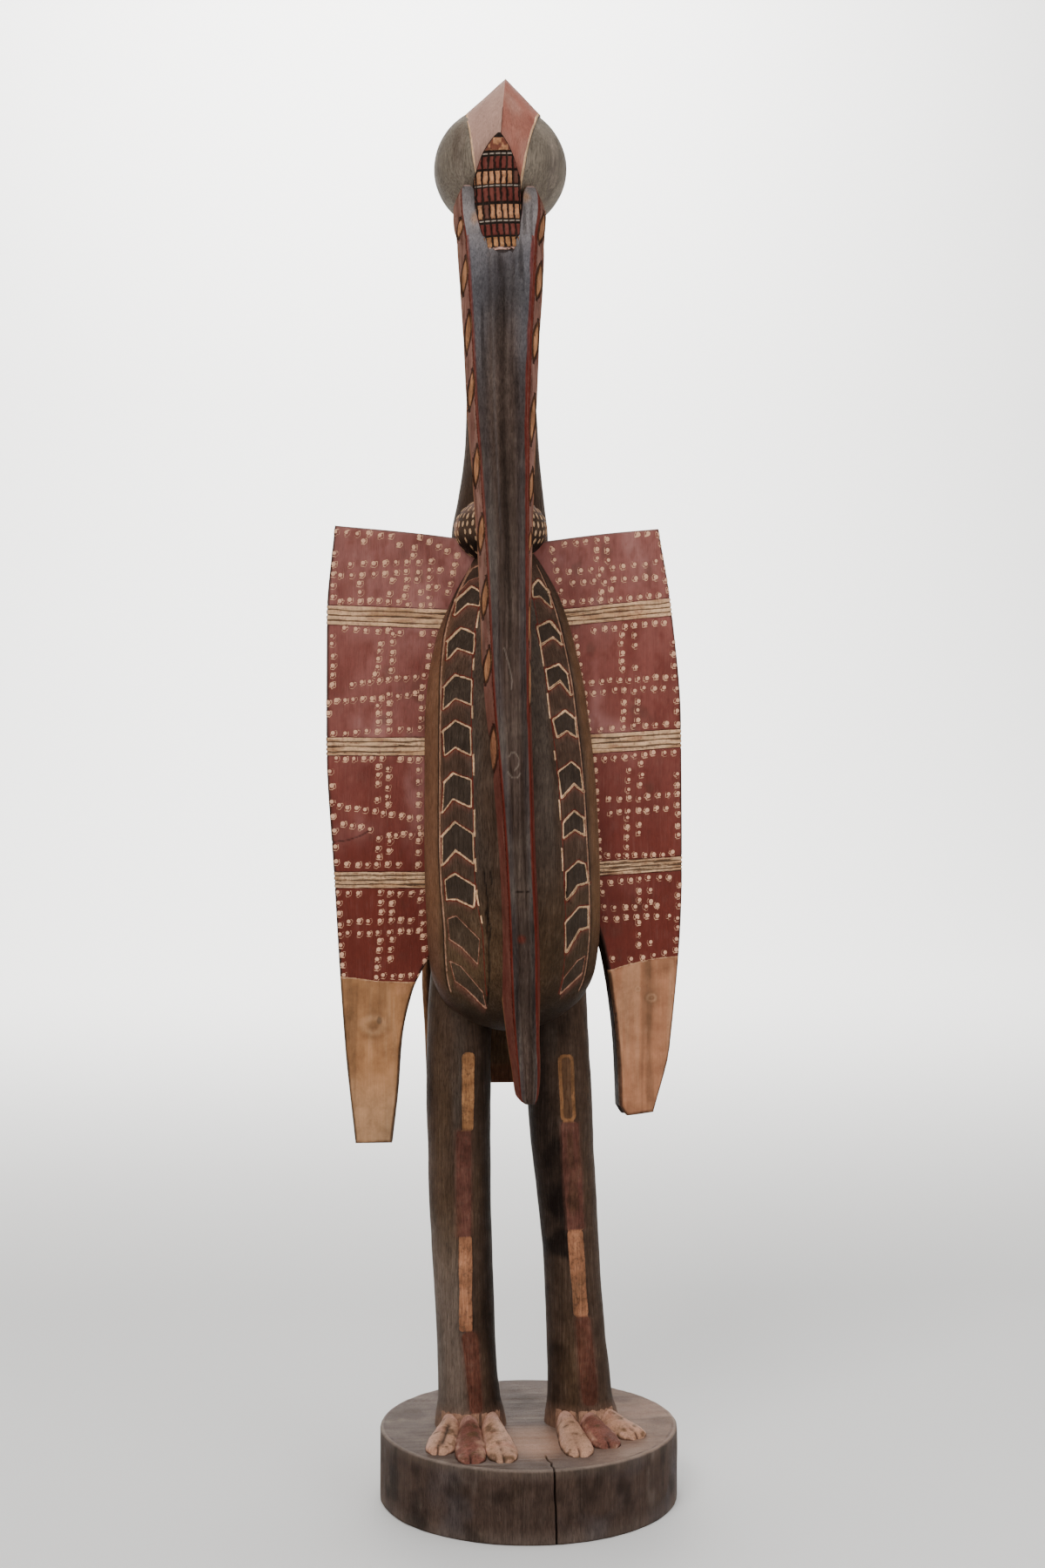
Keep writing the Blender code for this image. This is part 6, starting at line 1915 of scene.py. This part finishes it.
class Wing:
    """One plank wing, with painted fields of dots, grooved bands and a bare tip."""

    EDGE = 0.0028
    ROWS = 415
    FRONT = 142
    BACK = 24

    def __init__(self, side: int) -> None:
        """Sets up one wing.

        Args:
            side: -1 for the bird's right wing, 1 for its left.
        """
        self.side = side
        sweep = WING_SWEEP[side]
        self.outward = np.array([side * math.cos(sweep), math.sin(sweep), 0.0])
        self.forward = np.array([side * math.sin(sweep), -math.cos(sweep), 0.0])
        self.root = np.array(WING_ROOT[side])

    def plan(self, rows: np.ndarray, columns: np.ndarray) -> np.ndarray:
        """Net of points over the wing's outline.

        Args:
            rows: Shares from the foot to the top.
            columns: Shares from the inner to the outer edge.

        Returns:
            Outward place and height of each point: the blend of the four edge curves, less the blend of the four
            corners, so that the net meets every edge.
        """
        edges = WING_EDGES[self.side]
        steps = 400
        grid = np.linspace(0.0, 1.0, steps)

        def read(name: str, at: np.ndarray) -> np.ndarray:
            """Points of one edge.

            Args:
                name: Which edge.
                at: Shares of its length, from 0 to 1.

            Returns:
                Across and height of each point.
            """
            run = edge_curve(edges[name], steps)
            return np.stack([np.interp(at, grid, run[:, axis]) for axis in (0, 1)], -1)

        outer = read("outer", rows)
        inner_run = edge_curve(edges["inner"], steps)
        inner_share = np.interp(rows, np.linspace(0, 1, steps), self.even_height(inner_run, steps))
        inner = np.stack([np.interp(inner_share, grid, inner_run[:, axis]) for axis in (0, 1)], -1)
        foot, top = read("foot", columns), read("top", columns)
        s, t = columns[None, :, None], rows[:, None, None]
        blend = (1 - t) * foot[None] + t * top[None] + (1 - s) * inner[:, None] + s * outer[:, None]
        low, high = np.array(edges["foot"]), np.array(edges["top"])
        corners = (1 - s) * (1 - t) * low[0] + s * (1 - t) * low[-1] + (1 - s) * t * high[0] + s * t * high[-1]
        return blend - corners

    @staticmethod
    def even_height(run: np.ndarray, steps: int) -> np.ndarray:
        """Shares along the inner edge at even heights.

        Args:
            run: Points of the edge from foot to top.
            steps: Number of shares.

        Returns:
            The share along the run at which its height has gone each even step of the way.
        """
        height = np.maximum.accumulate(run[:, 1] + np.linspace(0, 1e-6, steps))
        return np.interp(np.linspace(height[0], height[-1], steps), height, np.linspace(0.0, 1.0, steps))

    def build(self) -> Skin:
        """Makes and paints it.

        Returns:
            Its skin: a ring at each row runs over the front, round the outer edge, over the back and round the
            inner edge. Near an edge the face falls back along a quarter circle of 2.8 mm.
        """
        rows = self.crowded(self.ROWS)
        front_columns = self.crowded(self.FRONT)
        back_columns = np.linspace(0.0, 1.0, self.BACK)[::-1]
        front = self.plan(rows, front_columns)
        back = self.plan(rows, back_columns)
        parts = [self.place(front, 0.0, 1.0), self.place(back, -WING_THICKNESS, -1.0)]
        rings = np.concatenate(parts, axis=1)
        if self.side < 0:
            rings = rings[:, ::-1]
        skin = Skin("wing", rings, 0)
        flat = np.concatenate((front, back), axis=1)
        facing = np.concatenate((np.ones(self.FRONT), np.zeros(self.BACK)))[None, :] * np.ones((self.ROWS, 1))
        if self.side < 0:
            flat, facing = flat[:, ::-1], facing[:, ::-1]
        self.paint(skin, flat[..., 0], flat[..., 1], facing)
        return skin

    @staticmethod
    def crowded(count: int) -> np.ndarray:
        """Even shares from 0 to 1 with a few more close to each end, for the rounded edges.

        Args:
            count: Number of shares.

        Returns:
            The shares.
        """
        close = np.array([0.0, 0.0012, 0.0035, 0.0075])
        return np.concatenate((close, np.linspace(0.013, 0.987, count - 8), 1 - close[::-1]))

    def place(self, flat: np.ndarray, depth: float, toward: float) -> np.ndarray:
        """Puts a net of points on a face of the plank.

        Args:
            flat: Outward place and height of each point.
            depth: How far forward of the wing's front face the face lies.
            toward: 1 for the front, -1 for the back.

        Returns:
            Places in space, set back near the outline by r - sqrt(r² - (r - d)²), where d is the distance from
            the outline and r is the edge's radius.
        """
        edges = WING_EDGES[self.side]
        gap = np.full(flat.shape[:2], np.inf)
        for name in ("top", "outer", "foot", "inner"):
            gap = np.minimum(gap, line_distance(flat[..., 0], flat[..., 1], edge_curve(edges[name], 40)))
        short = np.clip(self.EDGE - gap, 0.0, self.EDGE)
        drop = self.EDGE - np.sqrt(np.maximum(self.EDGE**2 - short**2, 0.0))
        lift = depth - toward * drop
        spot = self.root + flat[..., :1] * self.outward + lift[..., None] * self.forward
        spot[..., 2] = flat[..., 1]
        return spot

    def paint(self, skin: Skin, u: np.ndarray, z: np.ndarray, facing: np.ndarray) -> None:
        """Carves and paints both faces.

        Args:
            skin: The wing.
            u: Outward place of each point.
            z: Height of each point.
            facing: 1 on the front, 0 on the back.
        """
        tip_line = np.interp(u, [p[0] for p in TIP_LINE[self.side]], [p[1] for p in TIP_LINE[self.side]])
        tip_line = tip_line + 0.0010 * noise(skin.points, (90, 90, 1), 201)
        tan = self.bare_tip(skin, z)
        self.ground(skin, z, facing)
        tip = ramp(-0.001, -0.003, z - tip_line) * facing
        skin.colour += (tan - skin.colour) * tip[..., None]
        lower = (z < tip_line + 0.006) & (facing > 0.5)
        skin.ink[lower] = tan[lower]
        skin.mark(Layer.LIGHT, tip_line - z - 0.30 * (1 - facing))
        self.bands(skin, u, z, facing)
        self.dots(skin, u, z, facing)
        self.borders(skin, u, z, facing, tip_line)
        skin.weather(211 + self.side, 0.13)

    def bare_tip(self, skin: Skin, z: np.ndarray) -> np.ndarray:
        """Colour of the bare wood of the tip.

        Args:
            skin: The wing.
            z: Height of each point.

        Returns:
            Tan with darker and lighter streaks along the grain, paler towards the foot on the bird's right wing.
        """
        wood = Skin("tip", skin.points)
        wood.coat(Pigment.TAN if self.side < 0 else Pigment.TAN_ROSE, 1.0)
        streak = noise(skin.points, (120, 120, 6), 223)
        wood.coat(Pigment.STAIN_WARM, 0.42 * ramp(0.0, 0.5, streak))
        wood.coat(Pigment.CREAM, 0.20 * ramp(0.1, 0.6, -streak))
        wood.coat(Pigment.STAIN_WARM, 0.40 * ramp(0.0, 0.5, noise(skin.points, (45, 45, 16), 224)))
        wood.coat(Pigment.CREAM, 0.30 * ramp(0.46, 0.40, z) if self.side < 0 else 0.0)
        return wood.colour

    def ground(self, skin: Skin, z: np.ndarray, facing: np.ndarray) -> None:
        """Lays the red ground, paler above and deeper below.

        Args:
            skin: The wing.
            z: Height of each point.
            facing: 1 on the front, 0 on the back.
        """
        skin.coat(Pigment.WING_RED, 1.0)
        pale, start = (0.38, 0.70) if self.side < 0 else (0.24, 0.86)
        skin.coat(Pigment.WING_ROSE, pale * ramp(start, 1.0, z))
        skin.coat(Pigment.WING_DEEP, 0.95 * ramp(0.88, 0.62, z))
        cloud = noise(skin.points, (26, 26, 16), 221 + self.side)
        skin.coat(Pigment.WING_ROSE, 0.45 * ramp(0.1, 0.6, cloud) * ramp(0.55, 0.8, z))
        skin.coat(Pigment.WING_DEEP, 0.55 * ramp(0.05, 0.6, -cloud))
        speck = noise(skin.points, (150, 150, 90), 231 + self.side)
        skin.coat(Pigment.WING_DEEP, 0.35 * ramp(0.0, 0.5, speck))
        skin.coat(Pigment.STAIN, 0.30 * ramp(0.25, 0.6, noise(skin.points, (60, 60, 40), 233 + self.side)))
        skin.coat(Pigment.STAIN, 0.70 * (1 - facing))
        skin.coat(Pigment.EARTH_BLACK, 0.35 * (1 - facing) * ramp(0.0, 0.6, cloud))

    def bands(self, skin: Skin, u: np.ndarray, z: np.ndarray, facing: np.ndarray) -> None:
        """Cuts the grooved bands and paints them cream.

        Args:
            skin: The wing.
            u: Outward place of each point.
            z: Height of each point.
            facing: 1 on the front, 0 on the back.
        """
        edges = WING_EDGES[self.side]["outer"]
        end = smooth_curve([p[1] for p in edges], [p[0] for p in edges], z) - 0.001
        for k, (inner, outer) in enumerate(WING_BANDS[self.side]):
            t = np.clip(u / 0.155, 0.0, 1.0)
            wave = 0.0006 * noise(np.stack([u, z * 0, z], -1), (60, 1, 20), 231 + k)
            low = inner[0] + (outer[0] - inner[0]) * t + wave
            high = inner[1] + (outer[1] - inner[1]) * t + wave
            off = 0.05 * (1 - facing)
            to_end = np.minimum(end - u, 0.001)
            tone = noise(np.stack([u, z * 0, z], -1), (40, 1, 300), 241 + k)
            skin.mark(Layer.LIGHT, np.minimum(z - low, to_end) - off, high - z)
            in_band = (z > low - 0.003) & (z < high + 0.003) & (facing > 0.5)
            blend = (0.62 * ramp(-0.1, 0.5, tone))[..., None]
            shade = 1.06 * Pigment.CREAM.rgb * (1 - blend) + Pigment.TAN.rgb * blend
            skin.ink[in_band] = shade[in_band]
            skin.height += 0.0003 * ramp(-0.0006, 0.0006, np.minimum(z - low, high - z)) * facing
            for row, share in enumerate((0.22, 0.50, 0.78)):
                level = low + (high - low) * share + 0.0013 * noise(
                    np.stack([u, z * 0, z * 0 + row], -1), (40, 1, 9), 251 + k)
                half = 0.00085 + 0.00070 * noise(np.stack([u, z * 0, z * 0 + row], -1), (60, 1, 9), 271 + k)
                skin.mark(Layer.CUT, np.minimum(z - level + half, to_end) - off, level + half - z)
                skin.height -= 0.0012 * ramp(0.0012, 0.0002, np.abs(z - level)) * facing * (half > 0)
            for start in (low - 0.0012, high):
                skin.mark(Layer.CUT, z - start - 0.0003 - off, start + 0.0010 - z)
                skin.height -= 0.0006 * ramp(0.0012, 0.0002, np.abs(z - start - 0.0006)) * facing

    def dots(self, skin: Skin, u: np.ndarray, z: np.ndarray, facing: np.ndarray) -> None:
        """Presses the rows of ring-shaped dots into the paint.

        Args:
            skin: The wing.
            u: Outward place of each point.
            z: Height of each point.
            facing: 1 on the front, 0 on the back.
        """
        chance = np.random.default_rng(40 + self.side)
        front = facing > 0.5
        uf, zf = u[front], z[front]
        nearest = np.full(uf.shape + (4,), FAR)
        relief = np.zeros(uf.shape)
        done: list[tuple] = []
        for u0, z0, u1, z1, count in DOT_ROWS[self.side]:
            for k in range(count):
                share = k / (count - 1)
                centre = ((u0 + (u1 - u0) * share) / 1000 + chance.normal(0, 0.0006),
                          (z0 + (z1 - z0) * share) / 1000 + chance.normal(0, 0.0007))
                pick, size, present = chance.random(), chance.normal(0, 0.35), chance.random() > 0.05
                if not present or any(math.dist(centre, other) < 0.0066 for other in done):
                    continue
                done.append(centre)
                near = np.flatnonzero((np.abs(uf - centre[0]) < 0.006) & (np.abs(zf - centre[1]) < 0.006))
                du, dz = (uf[near] - centre[0]) * 1000, (zf[near] - centre[1]) * 1000
                reach = np.hypot(du, dz)
                closer = reach < nearest[near, 2]
                spot = near[closer]
                nearest[spot] = np.stack([du, dz, reach, reach * 0 + np.clip(pick + size, 0, 1)], -1)[closer]
                relief[spot] = np.maximum(relief[spot], ramp(3.2, 2.4, reach[closer])) - 0.9 * ramp(
                    1.6, 0.8, reach[closer])
        skin.dots[front] = nearest
        skin.height[front] += 0.0004 * relief
        LOG.info("wing %+d: %d dots", self.side, len(done))

    def borders(self, skin: Skin, u: np.ndarray, z: np.ndarray, facing: np.ndarray,
                tip_line: np.ndarray) -> None:
        """Darkens the plank's edges, draws the line above the tip, and adds its knots and the crack.

        Args:
            skin: The wing.
            u: Outward place of each point.
            z: Height of each point.
            facing: 1 on the front, 0 on the back.
            tip_line: Height of the line between paint and tip at each point.
        """
        edges = WING_EDGES[self.side]
        gap = np.full(u.shape, np.inf)
        for name in ("outer", "foot", "inner"):
            gap = np.minimum(gap, line_distance(u, z, edge_curve(edges[name], 40)))
        rough_gap = gap + 0.0009 * noise(skin.points, (120, 120, 40), 261)
        skin.coat(Pigment.EARTH_BLACK, 0.85 * facing * ramp(0.0034, 0.0012, rough_gap))
        skin.coat(Pigment.EARTH_BLACK, 0.8 * ramp(0.0007, 0.0002, gap))
        top_gap = line_distance(u, z, edge_curve(edges["top"], 40))
        skin.coat(Pigment.STAIN_GREY, 0.55 * ramp(0.0026, 0.0010, top_gap))
        edge_line = ramp(0.0012, 0.0004, np.abs(z - tip_line)) * facing
        skin.ink += (Pigment.CREAM.rgb - skin.ink) * 0.6 * edge_line[..., None]
        if self.side < 0:
            knots = (((0.105, 0.498), 0.016), )
            crack = line_distance(u, z, ((0.149, 0.692), (0.132, 0.694), (0.118, 0.699), (0.106, 0.706)))
            line = ramp(0.0010, 0.0003, crack) * facing
            skin.coat(Pigment.SOOT_AND_SHADE, 0.7 * line)
            skin.height -= 0.0008 * line
            spot = np.hypot(u - 0.0985, (z - 0.503) * 0.7) + 0.001 * noise(skin.points, (300, 300, 300), 264)
            self.tint_tip(skin, Pigment.SOOT_AND_SHADE, 0.70 * facing * ramp(0.0040, 0.0020, spot))
            self.tint_tip(skin, Pigment.ORANGE_CREAM, 0.45 * facing * ramp(0.010, 0.005, np.hypot(
                (u - 0.075) * 1.2, z - 0.536) + 0.003 * noise(skin.points, (200, 200, 200), 262)))
        else:
            knots = (((0.118, 0.522), 0.007), ((0.102, 0.532), 0.004))
        for (ku, kz), size in knots:
            r = np.hypot((u - ku) * 1.0, (z - kz) * 1.25) + 0.0026 * noise(skin.points, (80, 80, 80), 263)
            swirl = 0.5 + 0.5 * np.sin(r / size * 7.0)
            near = ramp(size * 1.6, size * 0.5, r) * facing
            self.tint_tip(skin, Pigment.STAIN_WARM, 0.32 * near * swirl)
            self.tint_tip(skin, Pigment.CREAM, 0.18 * near * (1 - swirl))
            skin.height += 0.0005 * near * (swirl - 0.5)
        dark_edge = 0.75 * facing * ramp(0.0034, 0.0012, rough_gap)
        self.tint_tip(skin, Pigment.EARTH_BLACK, dark_edge * ramp(0.0, -0.004, z - tip_line))

    @staticmethod
    def tint_tip(skin: Skin, pigment: Pigment, mask: np.ndarray) -> None:
        """Colours the bare wood, both the paint below and the crisp mark over it.

        Args:
            skin: The wing.
            pigment: The colour.
            mask: How much of it covers each point.
        """
        skin.coat(pigment, mask)
        skin.ink += (pigment.rgb - skin.ink) * np.clip(mask, 0.0, 1.0)[..., None]


# Assembly


class Piece:
    """One object of the finished figure: several skins in one mesh."""

    def __init__(self, name: str, skins: Sequence[Skin], finishes: Sequence[bpy.types.Material]) -> None:
        """Sets up a piece.

        Args:
            name: Name of the object.
            skins: Its surfaces.
            finishes: Its materials, in the order that the skins number them.
        """
        self.name = name
        self.skins = skins
        self.finishes = finishes

    def build(self) -> bpy.types.Object:
        """Makes the object and ties it to the frame.

        Returns:
            The object, at the origin, with its place in its mesh. Rings are joined by quads, and the first and
            the last ring are closed by a fan to their middle.
        """
        places, quads, tris, slots = [], [], [], []
        layers: dict[str, list] = {name: [] for name in ("paint", "rough", "ink", "lines", "cuts", "dots")}
        start = 0
        for skin in self.skins:
            count, sides = skin.points.shape[:2]
            spots = skin.finished()
            places += [spots.reshape(-1, 3), spots[0].mean(0)[None], spots[-1].mean(0)[None]]
            cuts = np.concatenate((skin.marks[..., 4:], np.zeros(skin.z.shape + (1,))), axis=-1)
            for name, values in (("paint", skin.colour), ("rough", skin.rough[..., None]), ("ink", skin.ink),
                                 ("lines", skin.marks[..., :4]), ("cuts", cuts), ("dots", skin.dots)):
                layers[name] += [values.reshape(-1, values.shape[-1]), values[0].mean(0)[None],
                                 values[-1].mean(0)[None]]
            i = np.arange(sides)
            j = (i + 1) % sides
            low = start + sides * np.arange(count - 1)[:, None]
            quads.append(np.stack([low + i, low + j, low + sides + j, low + sides + i], -1).reshape(-1, 4))
            foot, top = start + count * sides, start + count * sides + 1
            last = start + (count - 1) * sides
            tris.append(np.stack([start + j, start + i, np.full(sides, foot)], -1))
            tris.append(np.stack([last + i, last + j, np.full(sides, top)], -1))
            slots.append((skin.finish, (count - 1) * sides, 2 * sides))
            start += count * sides + 2
        mesh = self.mesh(np.concatenate(places), np.concatenate(quads), np.concatenate(tris))
        index = np.concatenate([np.full(quad, finish) for finish, quad, _ in slots]
                               + [np.full(tri, finish) for finish, _, tri in slots])
        mesh.polygons.foreach_set("material_index", index.astype(np.int32))
        mesh.polygons.foreach_set("use_smooth", np.ones(len(index), bool))
        for name, parts in layers.items():
            self.attribute(mesh, name, np.concatenate(parts))
        for material in self.finishes:
            mesh.materials.append(material)
        item = bpy.data.objects.new(self.name, mesh)
        bpy.context.scene.collection.objects.link(item)
        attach(item, BODY_NAME)
        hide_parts(NODE)
        triangles = 2 * sum(len(q) for q in quads) + sum(len(t) for t in tris)
        LOG.info("piece %s: %d surfaces, %d triangles", self.name, len(self.skins), triangles)
        return item

    @staticmethod
    def attribute(mesh: bpy.types.Mesh, name: str, values: np.ndarray) -> None:
        """Puts values on a mesh's points: one number, three, or four.

        Args:
            mesh: The mesh.
            name: Name that the materials read.
            values: Points by numbers. Three numbers that are a colour get a fourth, 1.
        """
        width = values.shape[1]
        if name in ("paint", "ink"):
            values, width = np.concatenate((np.clip(values, 0.0, 1.0), np.ones((len(values), 1))), axis=1), 4
        kind, key = {1: ("FLOAT", "value"), 3: ("FLOAT_VECTOR", "vector"), 4: ("FLOAT_COLOR", "color")}[width]
        layer = mesh.attributes.new(name, kind, "POINT")
        layer.data.foreach_set(key, values.astype(np.float32).ravel())

    def mesh(self, places: np.ndarray, quads: np.ndarray, tris: np.ndarray) -> bpy.types.Mesh:
        """Fills a mesh from arrays.

        Args:
            places: Places of all its points.
            quads: Corners of its four-sided faces.
            tris: Corners of its three-sided faces, which follow the others.

        Returns:
            The mesh.
        """
        mesh = bpy.data.meshes.new(self.name)
        mesh.vertices.add(len(places))
        mesh.vertices.foreach_set("co", places.astype(np.float32).ravel())
        corners = np.concatenate((quads.ravel(), tris.ravel())).astype(np.int32)
        mesh.loops.add(len(corners))
        mesh.loops.foreach_set("vertex_index", corners)
        mesh.polygons.add(len(quads) + len(tris))
        starts = np.concatenate((4 * np.arange(len(quads)), 4 * len(quads) + 3 * np.arange(len(tris))))
        mesh.polygons.foreach_set("loop_start", starts.astype(np.int32))
        mesh.update(calc_edges=True)
        return mesh


# Stage


class Studio:
    """Floor, light and camera."""

    TURN = math.radians(5.0)
    DISTANCE = 2.5
    EYE = 0.846
    LENS = 54.0

    def build(self) -> None:
        """Sets up everything that isn't the figure."""
        self.floor()
        self.light("key", (-1.3, -2.6, 3.5), 1.6, 92.0, (1.0, 0.985, 0.96))
        self.light("fill", (2.1, -2.5, 1.7), 1.8, 26.0, (0.96, 0.98, 1.0))
        self.light("top", (0.2, 0.2, 3.3), 1.5, 38.0, (1.0, 1.0, 1.0))
        self.light("backdrop", (0.0, 3.6, 4.2), 3.0, 800.0, (1.0, 1.0, 1.0), (0.0, 6.6, 2.2))
        world = bpy.data.worlds.new("soft_room")
        world.use_nodes = True
        world.node_tree.nodes["Background"].inputs["Color"].default_value = (0.93, 0.94, 0.96, 1.0)
        world.node_tree.nodes["Background"].inputs["Strength"].default_value = 0.42
        bpy.context.scene.world = world
        self.camera()

    def floor(self) -> None:
        """Pale floor that curves up behind the figure."""
        depth = np.array([-8.0, -3.0, 0.0, 4.6])
        turn = np.linspace(0.0, math.pi / 2, 20)
        y = np.concatenate((depth, 4.6 + 2.0 * np.sin(turn[1:]), [6.6]))
        z = np.concatenate((np.zeros(4), 2.0 - 2.0 * np.cos(turn[1:]), [8.0]))
        verts = [(side * 9.0, float(a), float(b)) for a, b in zip(y, z) for side in (-1, 1)]
        faces = [(2 * k, 2 * k + 1, 2 * k + 3, 2 * k + 2) for k in range(len(y) - 1)]
        mesh = bpy.data.meshes.new("studio_floor")
        mesh.from_pydata(verts, [], faces)
        mesh.shade_smooth()
        item = bpy.data.objects.new("studio_floor", mesh)
        material = bpy.data.materials.new("pale_floor")
        material.use_nodes = True
        shader = material.node_tree.nodes["Principled BSDF"]
        shader.inputs["Base Color"].default_value = (0.86, 0.85, 0.83, 1.0)
        shader.inputs["Roughness"].default_value = 0.9
        mesh.materials.append(material)
        bpy.context.scene.collection.objects.link(item)

    def light(self, name: str, place: tuple, size: float, power: float, colour: tuple,
              target: tuple = (-0.02, 0.0, 0.75)) -> None:
        """Adds a soft square light.

        Args:
            name: Its name.
            place: Where it stands.
            size: Length of its sides.
            power: Its power in watts.
            colour: Its colour.
            target: What it looks at.
        """
        data = bpy.data.lights.new(name, "AREA")
        data.size = size
        data.energy = power
        data.color = colour
        item = bpy.data.objects.new(name, data)
        item.location = place
        aim = Vector(target) - Vector(place)
        item.rotation_euler = aim.to_track_quat("-Z", "Y").to_euler()
        bpy.context.scene.collection.objects.link(item)

    def camera(self) -> None:
        """Puts the camera where the photograph was taken from, 5 degrees to the bird's right."""
        data = bpy.data.cameras.new("camera")
        data.lens = self.LENS
        data.sensor_width = 36.0
        data.shift_x = -7 / 1800
        data.shift_y = -100 / 1800
        item = bpy.data.objects.new("camera", data)
        item.location = (-math.sin(self.TURN) * self.DISTANCE, -math.cos(self.TURN) * self.DISTANCE, self.EYE)
        item.rotation_euler = (math.pi / 2, 0.0, -self.TURN)
        bpy.context.scene.collection.objects.link(item)
        bpy.context.scene.camera = item


def build_figure() -> list[bpy.types.Object]:
    """Builds every piece of the figure.

    Returns:
        The objects.
    """
    effects = Effects(grain_group(), mark_group(), dot_group())
    stained, earth, dotted, beak, base = (finish_material(finish, effects) for finish in FINISHES.values())
    makers: tuple[tuple[str, Callable[[], list[Skin]], tuple], ...] = (
        ("figure_body", lambda: [Belly().build()], (stained,)),
        ("figure_legs_and_tail", lambda: Legs().build() + [Tail().build()] + Toes().build(), (stained,)),
        ("figure_neck", lambda: [Neck().build(), Goitre().build()], (stained,)),
        ("figure_head", lambda: Head().build(), (stained, earth)),
        ("figure_beak", lambda: Beak().build(), (beak,)),
        ("figure_wing_right", lambda: [Wing(-1).build()], (dotted,)),
        ("figure_wing_left", lambda: [Wing(1).build()], (dotted,)),
        ("figure_base", lambda: [Base().build()], (base,)),
    )
    return [Piece(name, make(), finishes).build() for name, make, finishes in makers]


def main() -> None:
    """Builds the figure and its stage."""
    logging.basicConfig(level=logging.INFO, format="%(name)s: %(message)s")
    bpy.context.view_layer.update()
    build_figure()
    Studio().build()


if __name__ == "__main__":
    main()
